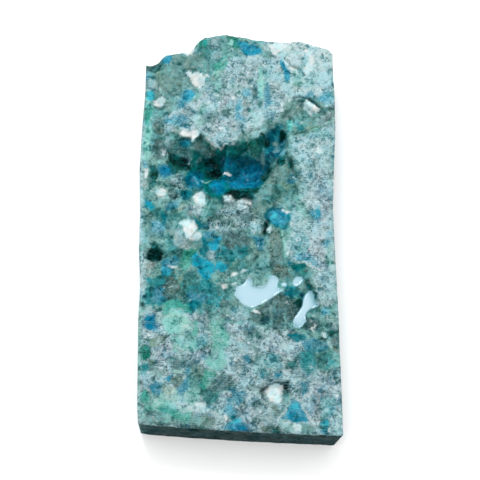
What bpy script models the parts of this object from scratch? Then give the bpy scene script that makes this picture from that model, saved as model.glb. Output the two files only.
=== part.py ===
"""A hand-sized slab of chrysocolla, quartz and malachite, lying on its sawn back.

One natural stone, so one solid. The back is sawn flat, the show face (+Z) is partly sawn and
partly open, rough cavities, the near end (-Y) is sawn a little out of square, and the far
end (+Y) is broken. Metres, +Z up, origin under the middle of the slab's box.
"""
import bmesh
import bpy
import numpy as np

MM = 0.001

# Driving dimensions of the slab.
LENGTH = 109.0 * MM
WIDTH = 51.0 * MM
THICKNESS = 12.0 * MM
RIM_CHAMFER = 0.35 * MM

# The mesh: stations along and across, and the levels that the side walls step down through.
STATIONS_ACROSS = 33
STATIONS_ALONG = 70
RIM_STATION = 0.45 * MM
WALL_LEVELS = (0.62, 0.26, 0.03)

# Plan of the slab, in mm: how far each edge stands in from the box, at points along it.
LEFT_EDGE_Y = (-54.5, -50, -25, -15, -4, 7, 20, 32, 45)
LEFT_EDGE_IN = (1.1, 0.8, 0.6, 0.8, 0.3, 0.4, 0.0, 0.3, 1.0)
RIGHT_EDGE_Y = (-53, -46, -25, -4, 7, 20, 32, 41, 49)
RIGHT_EDGE_IN = (0.0, 0.1, 0.4, 1.0, 1.3, 0.8, 0.2, 0.2, 0.5)
NEAR_EDGE_X = (-25, -22, -12, 0, 12, 25)
NEAR_EDGE_IN = (3.2, 2.7, 1.9, 1.1, 0.5, 0.0)
FAR_EDGE_X = (-25, -22, -19, -13, -11, -9, -3, 3, 7, 12, 16, 24, 25)
FAR_EDGE_IN = (8.4, 7.5, 6.0, 5.0, 2.8, 0.8, 0.0, 1.0, 2.3, 2.8, 2.3, 4.8, 6.2)

# Zones of the show face that the saw left level, as outlines in mm.
UPPER_SAWN = (
    (-19.5, 30), (-16, 32), (-10, 35.5), (-5.5, 40), (-4.5, 44), (-1.5, 47), (6.5, 49),
    (8, 58), (30, 58), (30, 33), (25, 33), (23.5, 32), (21, 33.5), (19.5, 35.5), (14.5, 36),
    (12.5, 32.5), (8, 27.5), (6, 24.5), (3.5, 24.5), (2, 23), (-1, 23.5), (-3.5, 22.5),
    (-5.5, 21.5), (-8, 24), (-10, 25.5), (-11, 24), (-14, 24.5), (-15.5, 26), (-19.5, 25.5),
)
RIGHT_SAWN = (
    (12.5, 26), (17, 24.5), (20.5, 26), (23, 28), (30, 29.5), (30, -28), (23, -28),
    (21, -21.5), (19, -14.5), (18.5, -11.5), (16.5, -10.5), (13.5, -11), (11.5, -7),
    (13.5, -2.5), (14, 5.5), (15, 9.5), (15.5, 14), (14, 21),
)
LOWER_SAWN = (
    (-30, -25), (-20, -22.5), (-12, -22), (-8, -26), (0, -26.5), (14, -27.5), (17, -30),
    (16, -36), (20, -38.5), (30, -36.5), (30, -60), (-30, -60),
)
SAWN_ZONES = (UPPER_SAWN, RIGHT_SAWN, LOWER_SAWN)
LEDGE_RUN = 1.3
OPEN_DEPTH = 0.9
OPEN_ROUGHNESS = 0.35
OPEN_GRAIN = 4.5

# Hollows sunk in the open ground: centre x, y, half-length, half-width, turn in degrees, depth.
# Lengths in mm.
HOLLOWS = (
    (2.5, 17.0, 9.5, 7.5, 10, 5.6),
    (-7.5, 18.0, 7.0, 7.0, 0, 5.2),
    (-15.5, 20.0, 5.5, 4.0, -15, 3.6),
    (9.3, 23.6, 4.2, 4.6, -25, 3.2),
    (17.5, 31.0, 5.5, 3.2, 15, 0.5),
    (-21.5, -8.0, 3.0, 2.2, -20, 2.4),
    (-22.5, 47.0, 3.5, 4.5, 30, 2.6),
    (17.0, -20.5, 2.6, 6.5, -22, 0.6),
)
# Hollows that open straight out of a sawn zone.
PITS = (
    (9.0, -43.5, 4.3, 3.2, -8, 3.6),
    (22.8, -27.0, 1.7, 1.4, 0, 1.1),
)
# Quartz knobs that stand up out of the open ground and out of a pit.
KNOBS = (
    (8.9, -43.8, 3.4, 3.1, 0, 3.2),
    (19.4, 33.4, 2.6, 1.5, -38, 1.0),
    (-13.0, -1.5, 3.6, 4.0, 0, 0.8),
    (-18.0, 12.5, 2.4, 1.8, 20, 0.6),
    (0.0, 7.5, 4.5, 2.2, 5, 0.6),
)

# The broken far end stands in below its rim, and the lower near right corner is knocked off.
BROKEN_FROM = 41.0
BROKEN_RUN = 6.0
BROKEN_IN = 1.8
CHIP_FROM = (20.5, 49.5)
CHIP_RUN = 4.5
CHIP_IN = 1.7

STONE_COLOUR = (0.16, 0.33, 0.33, 1.0)
STONE_ROUGHNESS = 0.55


def smooth(t):
    """Zero below 0, one above 1, and an S-curve between."""
    t = np.clip(t, 0.0, 1.0)
    return t * t * (3.0 - 2.0 * t)


def inside(x, y, outline):
    """Distance from each point to a closed outline, positive inside it and negative outside."""
    nearest = np.full(x.shape, np.inf)
    odd = np.zeros(x.shape, bool)
    for (ax, ay), (bx, by) in zip(outline, outline[1:] + outline[:1]):
        ex, ey = bx - ax, by - ay
        along = np.clip(((x - ax) * ex + (y - ay) * ey) / (ex * ex + ey * ey), 0.0, 1.0)
        nearest = np.minimum(nearest, np.hypot(x - ax - along * ex, y - ay - along * ey))
        crosses = (ay > y) != (by > y)
        rise = ey if ey else 1.0
        odd ^= crosses & (x < ax + (y - ay) * ex / rise)
    return np.where(odd, nearest, -nearest)


def bowl(x, y, place):
    """A round-bottomed dish: full depth at the middle and none at the ellipse's edge."""
    cx, cy, half_length, half_width, turn, depth = place
    c, s = np.cos(np.radians(turn)), np.sin(np.radians(turn))
    along = (c * (x - cx) + s * (y - cy)) / half_length
    across = (c * (y - cy) - s * (x - cx)) / half_width
    return depth * smooth(1.35 * (1.0 - np.hypot(along, across)))


def ripple(x, y):
    """Slow unevenness between -1 and 1, from four crossed waves of unlike length."""
    a, b = x / OPEN_GRAIN, y / OPEN_GRAIN
    waves = np.sin(2.1 * a + 1.3 * b) + np.sin(3.7 * b - 1.9 * a + 1.0)
    waves += np.sin(5.3 * a + 0.7 * b + 2.0) + np.sin(1.1 * a - 6.1 * b + 4.0)
    return waves / 4.0


def depth(x, y):
    """How far the show face lies below the saw's level, all in mm."""
    ground = np.zeros(x.shape)
    for place in HOLLOWS:
        ground = np.maximum(ground, bowl(x, y, place))
    ground += OPEN_DEPTH + OPEN_ROUGHNESS * ripple(x, y)
    sawn = np.full(x.shape, -np.inf)
    for outline in SAWN_ZONES:
        sawn = np.maximum(sawn, inside(x, y, outline))
    ground = np.maximum(ground, 0.0) * smooth(-sawn / LEDGE_RUN)
    for place in PITS:
        ground = np.maximum(ground, bowl(x, y, place))
    for place in KNOBS:
        ground -= bowl(x, y, place)
    return np.maximum(ground, 0.0)


def stations(count, length):
    """Even fractions from 0 to 1, with one close station inside each rim for the chamfer."""
    rim = RIM_STATION / length
    return np.concatenate(([0.0], np.linspace(rim, 1.0 - rim, count - 2), [1.0]))


def plan(u, v):
    """The place in the slab's plan, in mm, of fractions u across and v along."""
    half_width, half_length = 0.5 * WIDTH / MM, 0.5 * LENGTH / MM
    level = (2.0 * v - 1.0) * half_length
    left = np.interp(level, LEFT_EDGE_Y, LEFT_EDGE_IN) - half_width
    right = half_width - np.interp(level, RIGHT_EDGE_Y, RIGHT_EDGE_IN)
    x = left + (right - left) * u
    near = np.interp(x, NEAR_EDGE_X, NEAR_EDGE_IN) - half_length
    far = half_length - np.interp(x, FAR_EDGE_X, FAR_EDGE_IN)
    return x, near + (far - near) * v


def broken(x, y, level):
    """How far back from its rim the far end stands, at a share of the slab's thickness."""
    wave = 0.6 + 0.4 * np.sin(0.55 * x + 7.0 * level)
    return BROKEN_IN * (1.0 - level) * wave * smooth((y - BROKEN_FROM) / BROKEN_RUN)


def chipped(x, y, level):
    """How far in from its rim the near right corner stands, at a share of the thickness."""
    corner = smooth((x - CHIP_FROM[0]) / CHIP_RUN) * smooth((-y - CHIP_FROM[1]) / CHIP_RUN)
    return CHIP_IN * (1.0 - level) * corner


def show_face(mesh):
    """A flat grid, laid over the plan and sunk by the depth of every hollow."""
    bmesh.ops.create_grid(mesh, x_segments=STATIONS_ACROSS - 1, y_segments=STATIONS_ALONG - 1, size=0.5)
    flat = np.array([vert.co for vert in mesh.verts]) + 0.5
    across = np.rint(flat[:, 0] * (STATIONS_ACROSS - 1)).astype(int)
    along = np.rint(flat[:, 1] * (STATIONS_ALONG - 1)).astype(int)
    u = stations(STATIONS_ACROSS, WIDTH)[across]
    v = stations(STATIONS_ALONG, LENGTH)[along]
    x, y = plan(u, v)
    rim = (u == 0.0) | (u == 1.0) | (v == 0.0) | (v == 1.0)
    z = THICKNESS - MM * depth(x, y) - RIM_CHAMFER * rim
    for vert, place in zip(mesh.verts, np.stack([x * MM, y * MM, z], 1)):
        vert.co = place


def walls(mesh):
    """The rim drawn straight down through the wall levels to the sawn back."""
    rim = [edge for edge in mesh.edges if edge.is_boundary]
    for above, level in zip((1.0,) + WALL_LEVELS, WALL_LEVELS + (0.0,)):
        drawn = bmesh.ops.extrude_edge_only(mesh, edges=rim)["geom"]
        rim = [item for item in drawn if isinstance(item, bmesh.types.BMEdge) and item.is_boundary]
        for vert in {vert for edge in rim for vert in edge.verts}:
            x, y = vert.co.x / MM, vert.co.y / MM
            vert.co.x -= MM * (chipped(x, y, level) - chipped(x, y, above))
            vert.co.y -= MM * (broken(x, y, level) - broken(x, y, above))
            vert.co.z *= level / above
    bmesh.ops.contextual_create(mesh, geom=rim)


def stone():
    """The Principled finish of the bare stone."""
    material = bpy.data.materials.new("stone")
    material.use_nodes = True
    shader = material.node_tree.nodes["Principled BSDF"]
    shader.inputs["Base Color"].default_value = STONE_COLOUR
    shader.inputs["Roughness"].default_value = STONE_ROUGHNESS
    shader.inputs["Metallic"].default_value = 0.0
    material.diffuse_color = STONE_COLOUR
    return material


def slab(collection):
    """The whole stone as one closed solid."""
    mesh = bmesh.new()
    show_face(mesh)
    walls(mesh)
    bmesh.ops.triangulate(mesh, faces=mesh.faces)
    bmesh.ops.recalc_face_normals(mesh, faces=mesh.faces)
    data = bpy.data.meshes.new("chrysocolla_slab")
    mesh.to_mesh(data)
    mesh.free()
    piece = bpy.data.objects.new("chrysocolla_slab", data)
    piece.data.materials.append(stone())
    collection.objects.link(piece)


def main():
    for old in list(bpy.data.objects):
        bpy.data.objects.remove(old)
    collection = bpy.data.collections.new("chrysocolla_specimen")
    bpy.context.scene.collection.children.link(collection)
    slab(collection)


main()
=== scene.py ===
"""Visual model of a hand-sized slab of chrysocolla, quartz and malachite.

The slab lies on its sawn back with its show face up. One closed skin carries the sawn zones,
the open cavities with their quartz knobs and glassy pools, the walls and the back.
Lengths inside the shape functions are in millimetres; meshes are written in metres.
"""
import math

import bmesh
import bpy
import numpy as np
from bpy.props import FloatProperty, FloatVectorProperty, PointerProperty
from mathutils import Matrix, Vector


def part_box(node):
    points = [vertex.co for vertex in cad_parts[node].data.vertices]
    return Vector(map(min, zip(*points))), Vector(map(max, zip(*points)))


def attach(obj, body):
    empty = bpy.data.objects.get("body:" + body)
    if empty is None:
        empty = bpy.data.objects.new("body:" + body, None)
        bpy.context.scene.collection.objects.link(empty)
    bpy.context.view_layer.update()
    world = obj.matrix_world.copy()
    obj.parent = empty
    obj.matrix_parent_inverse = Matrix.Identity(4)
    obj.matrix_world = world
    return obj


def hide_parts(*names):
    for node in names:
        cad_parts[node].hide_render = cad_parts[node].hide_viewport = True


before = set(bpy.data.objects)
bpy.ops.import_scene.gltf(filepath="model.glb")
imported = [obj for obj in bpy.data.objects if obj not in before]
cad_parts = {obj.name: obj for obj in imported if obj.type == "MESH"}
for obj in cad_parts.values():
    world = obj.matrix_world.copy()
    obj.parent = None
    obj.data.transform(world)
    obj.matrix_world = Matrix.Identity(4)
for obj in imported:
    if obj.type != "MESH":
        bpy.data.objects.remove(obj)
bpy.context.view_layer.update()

bl_info = {
    "name": "Chrysocolla Slab",
    "version": (1, 0, 0),
    "blender": (4, 5, 0),
    "location": "3D View > Sidebar > Chrysocolla",
    "description": "A sawn slab of chrysocolla with open, crystal-lined cavities",
    "category": "Add Mesh",
}

MM = 0.001
NODE = "chrysocolla_slab"
BOX_LOW, BOX_HIGH = (np.array(corner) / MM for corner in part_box(NODE))
HALF_WIDTH = 0.5 * (BOX_HIGH[0] - BOX_LOW[0])
HALF_LENGTH = 0.5 * (BOX_HIGH[1] - BOX_LOW[1])
THICKNESS = BOX_HIGH[2] - BOX_LOW[2]

# Plan of the slab, in mm: how far each edge stands in from the box, at points along it.
LEFT_EDGE_Y = (-54.5, -50, -25, -15, -4, 7, 20, 32, 45)
LEFT_EDGE_IN = (1.1, 0.8, 0.6, 0.8, 0.3, 0.4, 0.0, 0.3, 1.0)
RIGHT_EDGE_Y = (-53, -46, -25, -4, 7, 20, 32, 41, 49)
RIGHT_EDGE_IN = (0.0, 0.1, 0.4, 1.0, 1.3, 0.8, 0.2, 0.2, 0.5)
NEAR_EDGE_X = (-25, -22, -12, 0, 12, 25)
NEAR_EDGE_IN = (3.2, 2.7, 1.9, 1.1, 0.5, 0.0)
FAR_EDGE_X = (-25, -22, -19, -13, -11, -9, -3, 3, 7, 12, 16, 24, 25)
FAR_EDGE_IN = (8.4, 7.5, 6.0, 5.0, 2.8, 0.8, 0.0, 1.0, 2.3, 2.8, 2.3, 4.8, 6.2)

# Zones of the show face that the saw left level, as outlines in mm.
UPPER_SAWN = (
    (-19.5, 30), (-16, 32), (-10, 35.5), (-5.5, 40), (-4.5, 44), (-1.5, 47), (6.5, 49),
    (8, 58), (30, 58), (30, 33), (25, 33), (23.5, 32), (21, 33.5), (19.5, 35.5), (14.5, 36),
    (12.5, 32.5), (8, 27.5), (6, 24.5), (3.5, 24.5), (2, 23), (-1, 23.5), (-3.5, 22.5),
    (-5.5, 21.5), (-8, 24), (-10, 25.5), (-11, 24), (-14, 24.5), (-15.5, 26), (-19.5, 25.5),
)
RIGHT_SAWN = (
    (12.5, 26), (17, 24.5), (20.5, 26), (23, 28), (30, 29.5), (30, -28), (23, -28),
    (21, -21.5), (19, -14.5), (18.5, -11.5), (16.5, -10.5), (13.5, -11), (11.5, -7),
    (13.5, -2.5), (14, 5.5), (15, 9.5), (15.5, 14), (14, 21),
)
LOWER_SAWN = (
    (-30, -25), (-20, -22.5), (-12, -22), (-8, -26), (0, -26.5), (14, -27.5), (17, -30),
    (16, -36), (20, -38.5), (30, -36.5), (30, -60), (-30, -60),
)
SAWN_ZONES = (UPPER_SAWN, RIGHT_SAWN, LOWER_SAWN)
LEDGE_RUN = 3.0
SHARP_LEDGES = ((-2.0, 25.0, 17.0, 5.5, 0), (17.0, 32.0, 8.0, 4.5, 0))
SHARPNESS = 0.75
OPEN_DEPTH = 0.9
OPEN_ROUGHNESS = 0.35
OPEN_GRAIN = 4.5

# Hollows sunk in the open ground: centre x, y, half-length, half-width, turn in degrees, depth.
# Lengths in mm.
HOLLOWS = (
    (2.5, 17.0, 9.5, 7.5, 10, 5.6),
    (-7.5, 18.0, 7.0, 7.0, 0, 5.2),
    (-15.5, 20.0, 5.5, 4.0, -15, 3.6),
    (9.3, 23.6, 4.2, 4.6, -25, 3.2),
    (17.5, 31.0, 5.5, 3.2, 15, 0.5),
    (-21.5, -8.0, 3.0, 2.2, -20, 2.4),
    (-22.5, 47.0, 3.5, 4.5, 30, 2.6),
    (17.0, -20.5, 2.6, 6.5, -22, 0.6),
)
# Hollows that open straight out of a sawn zone.
PITS = (
    (9.0, -43.5, 4.3, 3.2, -8, 3.6),
    (22.8, -27.0, 1.7, 1.4, 0, 1.1),
)
# Open cracks: width and depth, then the path, in mm.
CRACKS = (
    (0.34, 0.7, ((14.6, 35.8), (16.5, 36.0), (18.2, 35.5), (19.6, 34.6), (20.8, 33.4), (22.2, 32.6),
        (23.6, 32.4), (25.2, 32.8))),
    (0.4, 0.5, ((12.2, 47.0), (14.5, 44.6), (16.6, 43.4), (17.6, 42.2))),
    (0.4, 0.5, ((14.6, 25.2), (17.2, 26.2), (20.4, 27.4), (23.0, 29.4), (25.4, 31.2))),
    (0.5, 0.8, ((12.6, 19.8), (13.4, 17.6), (14.2, 15.2), (15.0, 13.2))),
)

# Quartz knobs that stand up out of the open ground and out of a pit.
KNOBS = (
    (8.9, -43.8, 3.4, 3.1, 0, 3.2),
    (19.4, 33.4, 2.6, 1.5, -38, 1.0),
    (-13.0, -1.5, 3.6, 4.0, 0, 0.8),
    (-18.0, 12.5, 2.4, 1.8, 20, 0.6),
    (0.0, 7.5, 4.5, 2.2, 5, 0.6),
)

# Glassy pools in the open ground, as outlines in mm, and how far below the saw's level they lie.
POOL_OUTLINES = (
    ((-1, -18.5), (-0.5, -16.25), (1.25, -15.5), (2, -14.25), (3, -13.75), (3.75, -14.5), (3.5, -16),
     (6, -16.25), (7.25, -15.5), (8, -13.5), (9, -13.25), (10.25, -14), (9.75, -16.25), (11.25, -17.25),
     (9, -18.75), (6, -20.75), (3.5, -21.75), (1.5, -21.25), (0.25, -20)),
    ((17.75, -17.25), (18.75, -17.75), (19.25, -20.25), (20.5, -20.75), (19.75, -21.75), (18.25, -22),
     (17.25, -23), (16.75, -24), (17, -25.25), (16, -26.75), (15, -27.5), (13.75, -26.75),
     (13.75, -25), (15, -22.75), (16, -21.25), (16.25, -19.5), (16.75, -18.25)),
    ((13.6, -15.2), (14.3, -13.7), (15.8, -13.4), (16.4, -14.4), (15.4, -15.8), (14.1, -16.2)),
    ((10.8, -15.5), (11.5, -15), (12.3, -15.3), (12, -16.1), (11.2, -16.2)),
)
POOL_DEPTH = 1.05
POOL_EDGE = 0.35

# Minerals: colour, then shares from 0 to 1 of gloss, fine grain, veins, crystal points and
# rounded lumps, then the width in mm over which the mineral fades into its neighbour.
MINERALS = {
    "lavender": ("7F9CA0", 0.0, 1.0, 0.4, 0.0, 0.0, 0.9),
    "plateau": ("9CB8BD", 0.0, 1.0, 0.5, 0.1, 0.0, 0.9),
    "mottle_white": ("B1D1D5", 0.0, 0.9, 0.4, 0.1, 0.0, 1.2),
    "pale": ("BAD6D8", 0.0, 0.8, 0.5, 0.0, 0.0, 1.2),
    "teal_pale": ("6CA8AC", 0.1, 0.8, 0.7, 0.1, 0.1, 1.0),
    "azure_pale": ("60ACBF", 0.1, 0.7, 0.4, 0.1, 0.1, 0.8),
    "azure_dim": ("34889D", 0.1, 0.5, 0.4, 0.0, 0.1, 0.7),
    "strip": ("94B5B8", 0.0, 0.9, 1.0, 0.0, 0.0, 1.0),
    "slate": ("6A8B8F", 0.0, 0.7, 0.4, 0.1, 0.1, 0.8),
    "slate_dark": ("426A6B", 0.0, 0.5, 0.3, 0.0, 0.0, 0.5),
    "grey_rough": ("5F8283", 0.1, 0.9, 0.4, 0.7, 0.1, 1.0),
    "grey_dark": ("476866", 0.2, 0.4, 0.3, 0.2, 0.2, 0.8),
    "grey_brown": ("69877F", 0.1, 0.5, 0.2, 0.2, 0.2, 0.7),
    "brown": ("587268", 0.1, 0.5, 0.3, 0.3, 0.1, 0.7),
    "pinkish": ("859D98", 0.0, 0.7, 0.2, 0.3, 0.0, 0.6),
    "cream": ("A6C4B6", 0.1, 0.5, 0.2, 0.5, 0.0, 0.4),
    "smoky": ("8AB3B2", 0.3, 0.7, 0.2, 0.9, 0.0, 0.5),
    "quartz": ("DCE8E9", 0.3, 0.4, 0.0, 1.0, 0.0, 0.3),
    "jade": ("70A19B", 0.2, 0.45, 0.7, 0.1, 0.3, 1.0),
    "sea": ("3E8986", 0.5, 0.35, 0.7, 0.5, 0.2, 0.9),
    "teal": ("29898D", 0.3, 0.35, 0.6, 0.1, 0.4, 0.9),
    "teal_deep": ("046F7A", 0.5, 0.15, 0.3, 0.0, 0.5, 0.6),
    "deep_teal": ("00667A", 0.5, 0.12, 0.3, 0.1, 0.7, 1.1),
    "emerald_dark": ("074A43", 0.4, 0.15, 0.3, 0.1, 0.6, 0.9),
    "emerald": ("1F826F", 0.3, 0.25, 0.4, 0.1, 0.5, 0.6),
    "malachite": ("449F8E", 0.2, 0.35, 0.5, 0.0, 0.5, 0.9),
    "malachite_soft": ("6FB9AB", 0.0, 0.6, 0.5, 0.0, 0.1, 1.2),
    "mint": ("94D1C5", 0.0, 0.5, 0.4, 0.0, 0.1, 0.6),
    "mint_soft": ("84BBB3", 0.0, 0.65, 0.4, 0.0, 0.0, 1.2),
    # Painted mint highlight, a glint on the cracked step.
    "mint_highlight": ("8ADFD5", 0.4, 0.3, 0.1, 0.6, 0.0, 0.4),
    "turquoise": ("0C9AB2", 0.3, 0.2, 0.2, 0.0, 0.6, 0.6),
    "azure": ("1E90AC", 0.3, 0.3, 0.2, 0.1, 0.5, 0.6),
    "blue": ("007CA0", 0.4, 0.12, 0.1, 0.1, 0.7, 1.5),
    "blue_deep": ("00627C", 0.5, 0.1, 0.2, 0.1, 0.7, 1.5),
    "celadon": ("739892", 0.3, 0.25, 0.5, 0.0, 0.2, 0.8),
    "celadon_dark": ("477E79", 0.3, 0.25, 0.5, 0.0, 0.2, 0.8),
    "celadon_pale": ("89AEAB", 0.2, 0.30, 0.4, 0.0, 0.1, 0.6),
    "olive": ("799D8A", 0.2, 0.30, 0.2, 0.0, 0.1, 0.6),
    "milky": ("9AB6B6", 0.2, 0.50, 0.2, 0.1, 0.1, 0.6),
    # White chalky quartz; the same white is also laid as painted glints.
    "chalk_and_glint": ("E2EEEE", 0.1, 0.35, 0.0, 0.15, 0.1, 0.4),
    "violet": ("95A9B2", 0.0, 1.0, 0.3, 0.0, 0.0, 1.0),
    "cyan": ("3DB6C7", 0.3, 0.2, 0.1, 0.0, 0.3, 0.5),
    "teal_blue": ("048396", 0.4, 0.12, 0.1, 0.0, 0.4, 1.4),
    "navy": ("013F58", 0.4, 0.10, 0.0, 0.0, 0.3, 0.6),
    "emerald_deep": ("02706C", 0.4, 0.1, 0.1, 0.1, 0.6, 1.2),
    "ash": ("8A9C9D", 0.2, 0.6, 0.0, 0.3, 0.0, 0.5),
    # Very dark green, also laid as painted shadow under ledges and in cavity corners.
    "emerald_black_and_shade": ("043E35", 0.3, 0.1, 0.1, 0.1, 0.4, 0.7),
    # Dark slate of the near end, darkened further as painted shade.
    "end_slate_and_shade": ("384A4B", 0.0, 0.12, 0.1, 0.0, 0.0, 1.0),
    # Near-black painted shade, laid where the hollows lie in shadow.
    "hollow_shade": ("02201E", 0.2, 0.1, 0.0, 0.2, 0.2, 1.3),
    # The pools' pale blue is partly the glass's own colour and partly a painted reflection of the light
    # above.
    "pool": ("C2E6F4", 1.0, 0.0, 0.0, 0.0, 0.0, 0.2),
}
FIELDS = ("gloss", "grain", "veins", "points", "lumps", "saw")

# What lies in each zone's ground, and how strongly its surface shows the saw.
GROUND = (
    (UPPER_SAWN, "plateau", 0.35),
    (RIGHT_SAWN, "strip", 1.0),
    (LOWER_SAWN, "lavender", 0.6),
)

# Broad tints of the show face, painted in order: mineral, centre x, y, half-length, half-width
# in mm, and turn in degrees.
PATCHES = (
    # open ground at the far end
    ("celadon", -17.5, 41.5, 6.6, 4.6, 20),
    ("celadon", -21.5, 36.5, 3.0, 4.8, 0),
    ("celadon_dark", -11.5, 47, 4.6, 3.2, 30),
    ("jade", -3.5, 42.5, 3.5, 5.9, 0),
    ("smoky", -22.5, 39.5, 1.3, 1.9, 0),
    ("jade", -17.5, 36.5, 3.0, 2.7, 10),
    ("smoky", -15, 42, 1.8, 1.6, 20),
    # left strip
    ("mint", -24, 27, 1.3, 8.6, 0),
    ("malachite", -23.5, 32, 1.3, 2.2, 0),
    ("malachite", -24, 29.5, 1.0, 2.7, 0),
    ("celadon_dark", -21, 23.5, 2.0, 1.6, 0),
    # plateau tints
    ("lavender", -1.5, 44, 3.5, 3.2, 0),
    ("violet", -3.5, 38, 2.8, 4.8, 10),
    ("plateau", 0, 40, 1.8, 2.7, 0),
    ("mottle_white", 3, 30, 5.1, 3.2, -20),
    ("azure_pale", 0.5, 30, 2.0, 1.3, 20),
    ("azure_dim", -14.5, 34, 2.0, 1.6, 0),
    ("azure_pale", -16.5, 29.5, 3.0, 1.9, 0),
    ("azure_dim", -14.5, 29, 1.3, 1.9, 0),
    ("slate", -13, 31.5, 1.8, 1.3, 10),
    ("slate", -3.5, 31, 1.3, 1.3, 0),
    ("plateau", -3.5, 27.5, 6.1, 2.2, -10),
    ("mottle_white", -9, 33, 3.0, 1.9, 10),
    ("plateau", -8, 38, 2.3, 3.2, 0),
    ("mint_soft", -9.5, 30, 1.5, 3.2, 0),
    ("celadon_pale", -6, 41.5, 1.5, 2.7, 0),
    # upper right
    ("pale", 17.5, 44, 8.1, 9.1, 0),
    ("pale", 21, 40, 3.3, 2.7, 0),
    ("pale", 18, 39, 2.3, 2.2, 0),
    ("jade", 10.5, 50, 2.3, 1.3, 0),
    ("mint_soft", 15.5, 41.5, 1.5, 2.2, 0),
    ("pale", 22.5, 46, 2.3, 2.2, 0),
    # cracked step
    ("jade", 17.5, 31, 6.6, 4.8, 0),
    ("milky", 23.5, 31, 1.8, 1.3, 0),
    ("teal_pale", 21.5, 25, 3.0, 1.6, -15),
    ("jade", 13, 23.5, 1.5, 3.2, 0),
    # right strip
    ("mottle_white", 17, 21, 3.3, 3.2, 0),
    ("violet", 21, 7, 3.3, 7.0, 0),
    ("violet", 21, -7, 3.5, 6.5, 10),
    ("celadon", 15, 11, 1.3, 4.8, 0),
    ("mint_soft", 16, 3.5, 1.3, 3.8, 0),
    ("chalk_and_glint", 21, 20.5, 0.9, 0.9, 0),
    ("milky", 19.5, 17.5, 1.0, 0.9, 0),
    ("hollow_shade", 13.5, 17.5, 0.5, 1.1, 0),
    ("azure_pale", 20, 3, 1.5, 1.9, 0),
    ("azure", 20.5, 3.5, 0.6, 0.8, 0),
    ("azure_pale", 24, -4, 1.0, 1.9, 0),
    ("teal_pale", 15.5, -4, 2.3, 3.2, 0),
    ("strip", 15.5, 1, 2.0, 2.7, 0),
    ("mint_soft", 23, -8.5, 0.8, 3.8, 0),
    # left middle
    ("jade", -20, 3, 5.1, 4.3, 0),
    ("grey_dark", 0.5, 6.5, 5.1, 2.2, 0),
    ("teal_pale", 3, 3.5, 3.0, 2.7, 0),
    ("jade", -8.5, 4, 3.0, 2.4, 0),
    ("celadon_dark", -16.5, 2.5, 2.0, 1.6, 0),
    ("hollow_shade", -16.5, 8.5, 1.0, 1.1, 0),
    # centre
    ("grey_rough", 0.5, 2.5, 5.6, 3.8, 0),
    ("grey_rough", -4, 0, 3.5, 2.4, 0),
    ("milky", 5, 0.5, 2.5, 2.2, 0),
    ("sea", -20.5, 2.5, 2.5, 3.2, 0),
    ("celadon_dark", -15.5, -8, 2.5, 3.2, 0),
    ("teal", -2.5, -7, 4.1, 2.7, 0),
    ("celadon_dark", 0.5, -11, 3.5, 1.9, 0),
    ("teal_deep", -8.5, -5.5, 1.8, 2.4, 0),
    ("sea", -17, -4, 1.3, 3.2, 0),
    # below the knob
    ("teal", -18.5, -17.5, 5.6, 4.8, 0),
    ("teal", -22, -17, 2.5, 2.7, 20),
    ("azure_dim", -19.5, -18.5, 1.8, 1.9, 0),
    ("grey_dark", -16.5, -17, 2.0, 3.0, 10),
    ("celadon_dark", -14.5, -14, 0.8, 2.2, -15),
    ("celadon", -14, -18, 1.8, 2.2, 0),
    ("teal", -8.5, -17.5, 5.1, 3.8, -10),
    ("azure_dim", -10.5, -19, 2.3, 1.3, 0),
    ("teal_deep", -11, -21, 2.0, 1.6, 0),
    ("celadon_dark", -12, -14.5, 2.0, 2.2, 0),
    ("celadon_dark", -4, -17, 2.0, 2.4, 0),
    ("teal_pale", 0.5, -23, 3.0, 1.3, -15),
    ("slate", 0.5, -25, 3.5, 1.6, -10),
    ("mint", 0, -26, 0.8, 0.5, 0),
    ("celadon", 15.5, -14.5, 2.5, 3.8, 0),
    ("jade", 22, -23.5, 2.5, 3.2, 0),
    ("strip", 21.5, -18, 2.3, 3.8, 0),
    ("azure_pale", 21.5, -23, 1.0, 1.1, 0),
    # mint balls
    ("teal_deep", -11.5, -22.5, 1.3, 1.6, 0),
    ("malachite_soft", -13.5, -31.5, 3.5, 3.0, 0),
    ("violet", -18, -34, 2.3, 3.8, 0),
    ("violet", -12, -35, 3.5, 2.2, 0),
    ("slate", -14, -36, 2.5, 1.9, 0),
    ("slate_dark", -15.5, -37, 1.3, 1.3, 0),
    ("violet", -0.5, -28.5, 2.5, 2.4, 0),
    # lower left
    ("smoky", -20.5, -38.5, 2.0, 1.1, -15),
    ("violet", -19, -36.5, 1.8, 2.4, 0),
    ("celadon", -9.5, -39, 3.0, 1.9, 0),
    ("jade", -11.5, -41.5, 2.0, 2.7, 0),
    ("mint_soft", -11.5, -45, 2.5, 2.7, 0),
    ("mint_soft", -18, -45.5, 3.5, 1.6, 0),
    ("malachite_soft", -17.5, -49, 6.6, 2.7, -5),
    ("celadon", -12, -51, 6.6, 1.3, -4),
    ("slate", -7.5, -46, 2.0, 1.3, 0),
    ("violet", -3.5, -45, 2.3, 1.3, 0),
    # lower right
    ("lavender", 1, -40, 4.1, 3.8, 0),
    ("slate", 0.5, -37.5, 2.0, 1.6, 0),
    ("azure_dim", -0.5, -44.5, 2.0, 2.2, 0),
    ("azure_pale", -2, -48.5, 1.5, 1.9, 0),
    ("teal_pale", 6, -37.5, 2.0, 2.4, 0),
    ("slate", 6, -47.5, 1.5, 1.6, 0),
    ("violet", 20, -44, 5.1, 4.0, 0),
    ("violet", 18, -48.5, 3.0, 2.4, 0),
    ("teal_pale", 22, -47, 2.0, 2.7, 0),
    ("slate", 18.5, -45, 0.8, 1.1, 0),
    ("slate", 22, -44.5, 1.0, 1.1, 0),
    ("grey_rough", 6, -48.5, 3.5, 2.4, 0),
    ("violet", 2, -49.5, 2.8, 1.9, 0),
    ("slate", 16.5, -38.5, 3.0, 2.2, 0),
)

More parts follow.
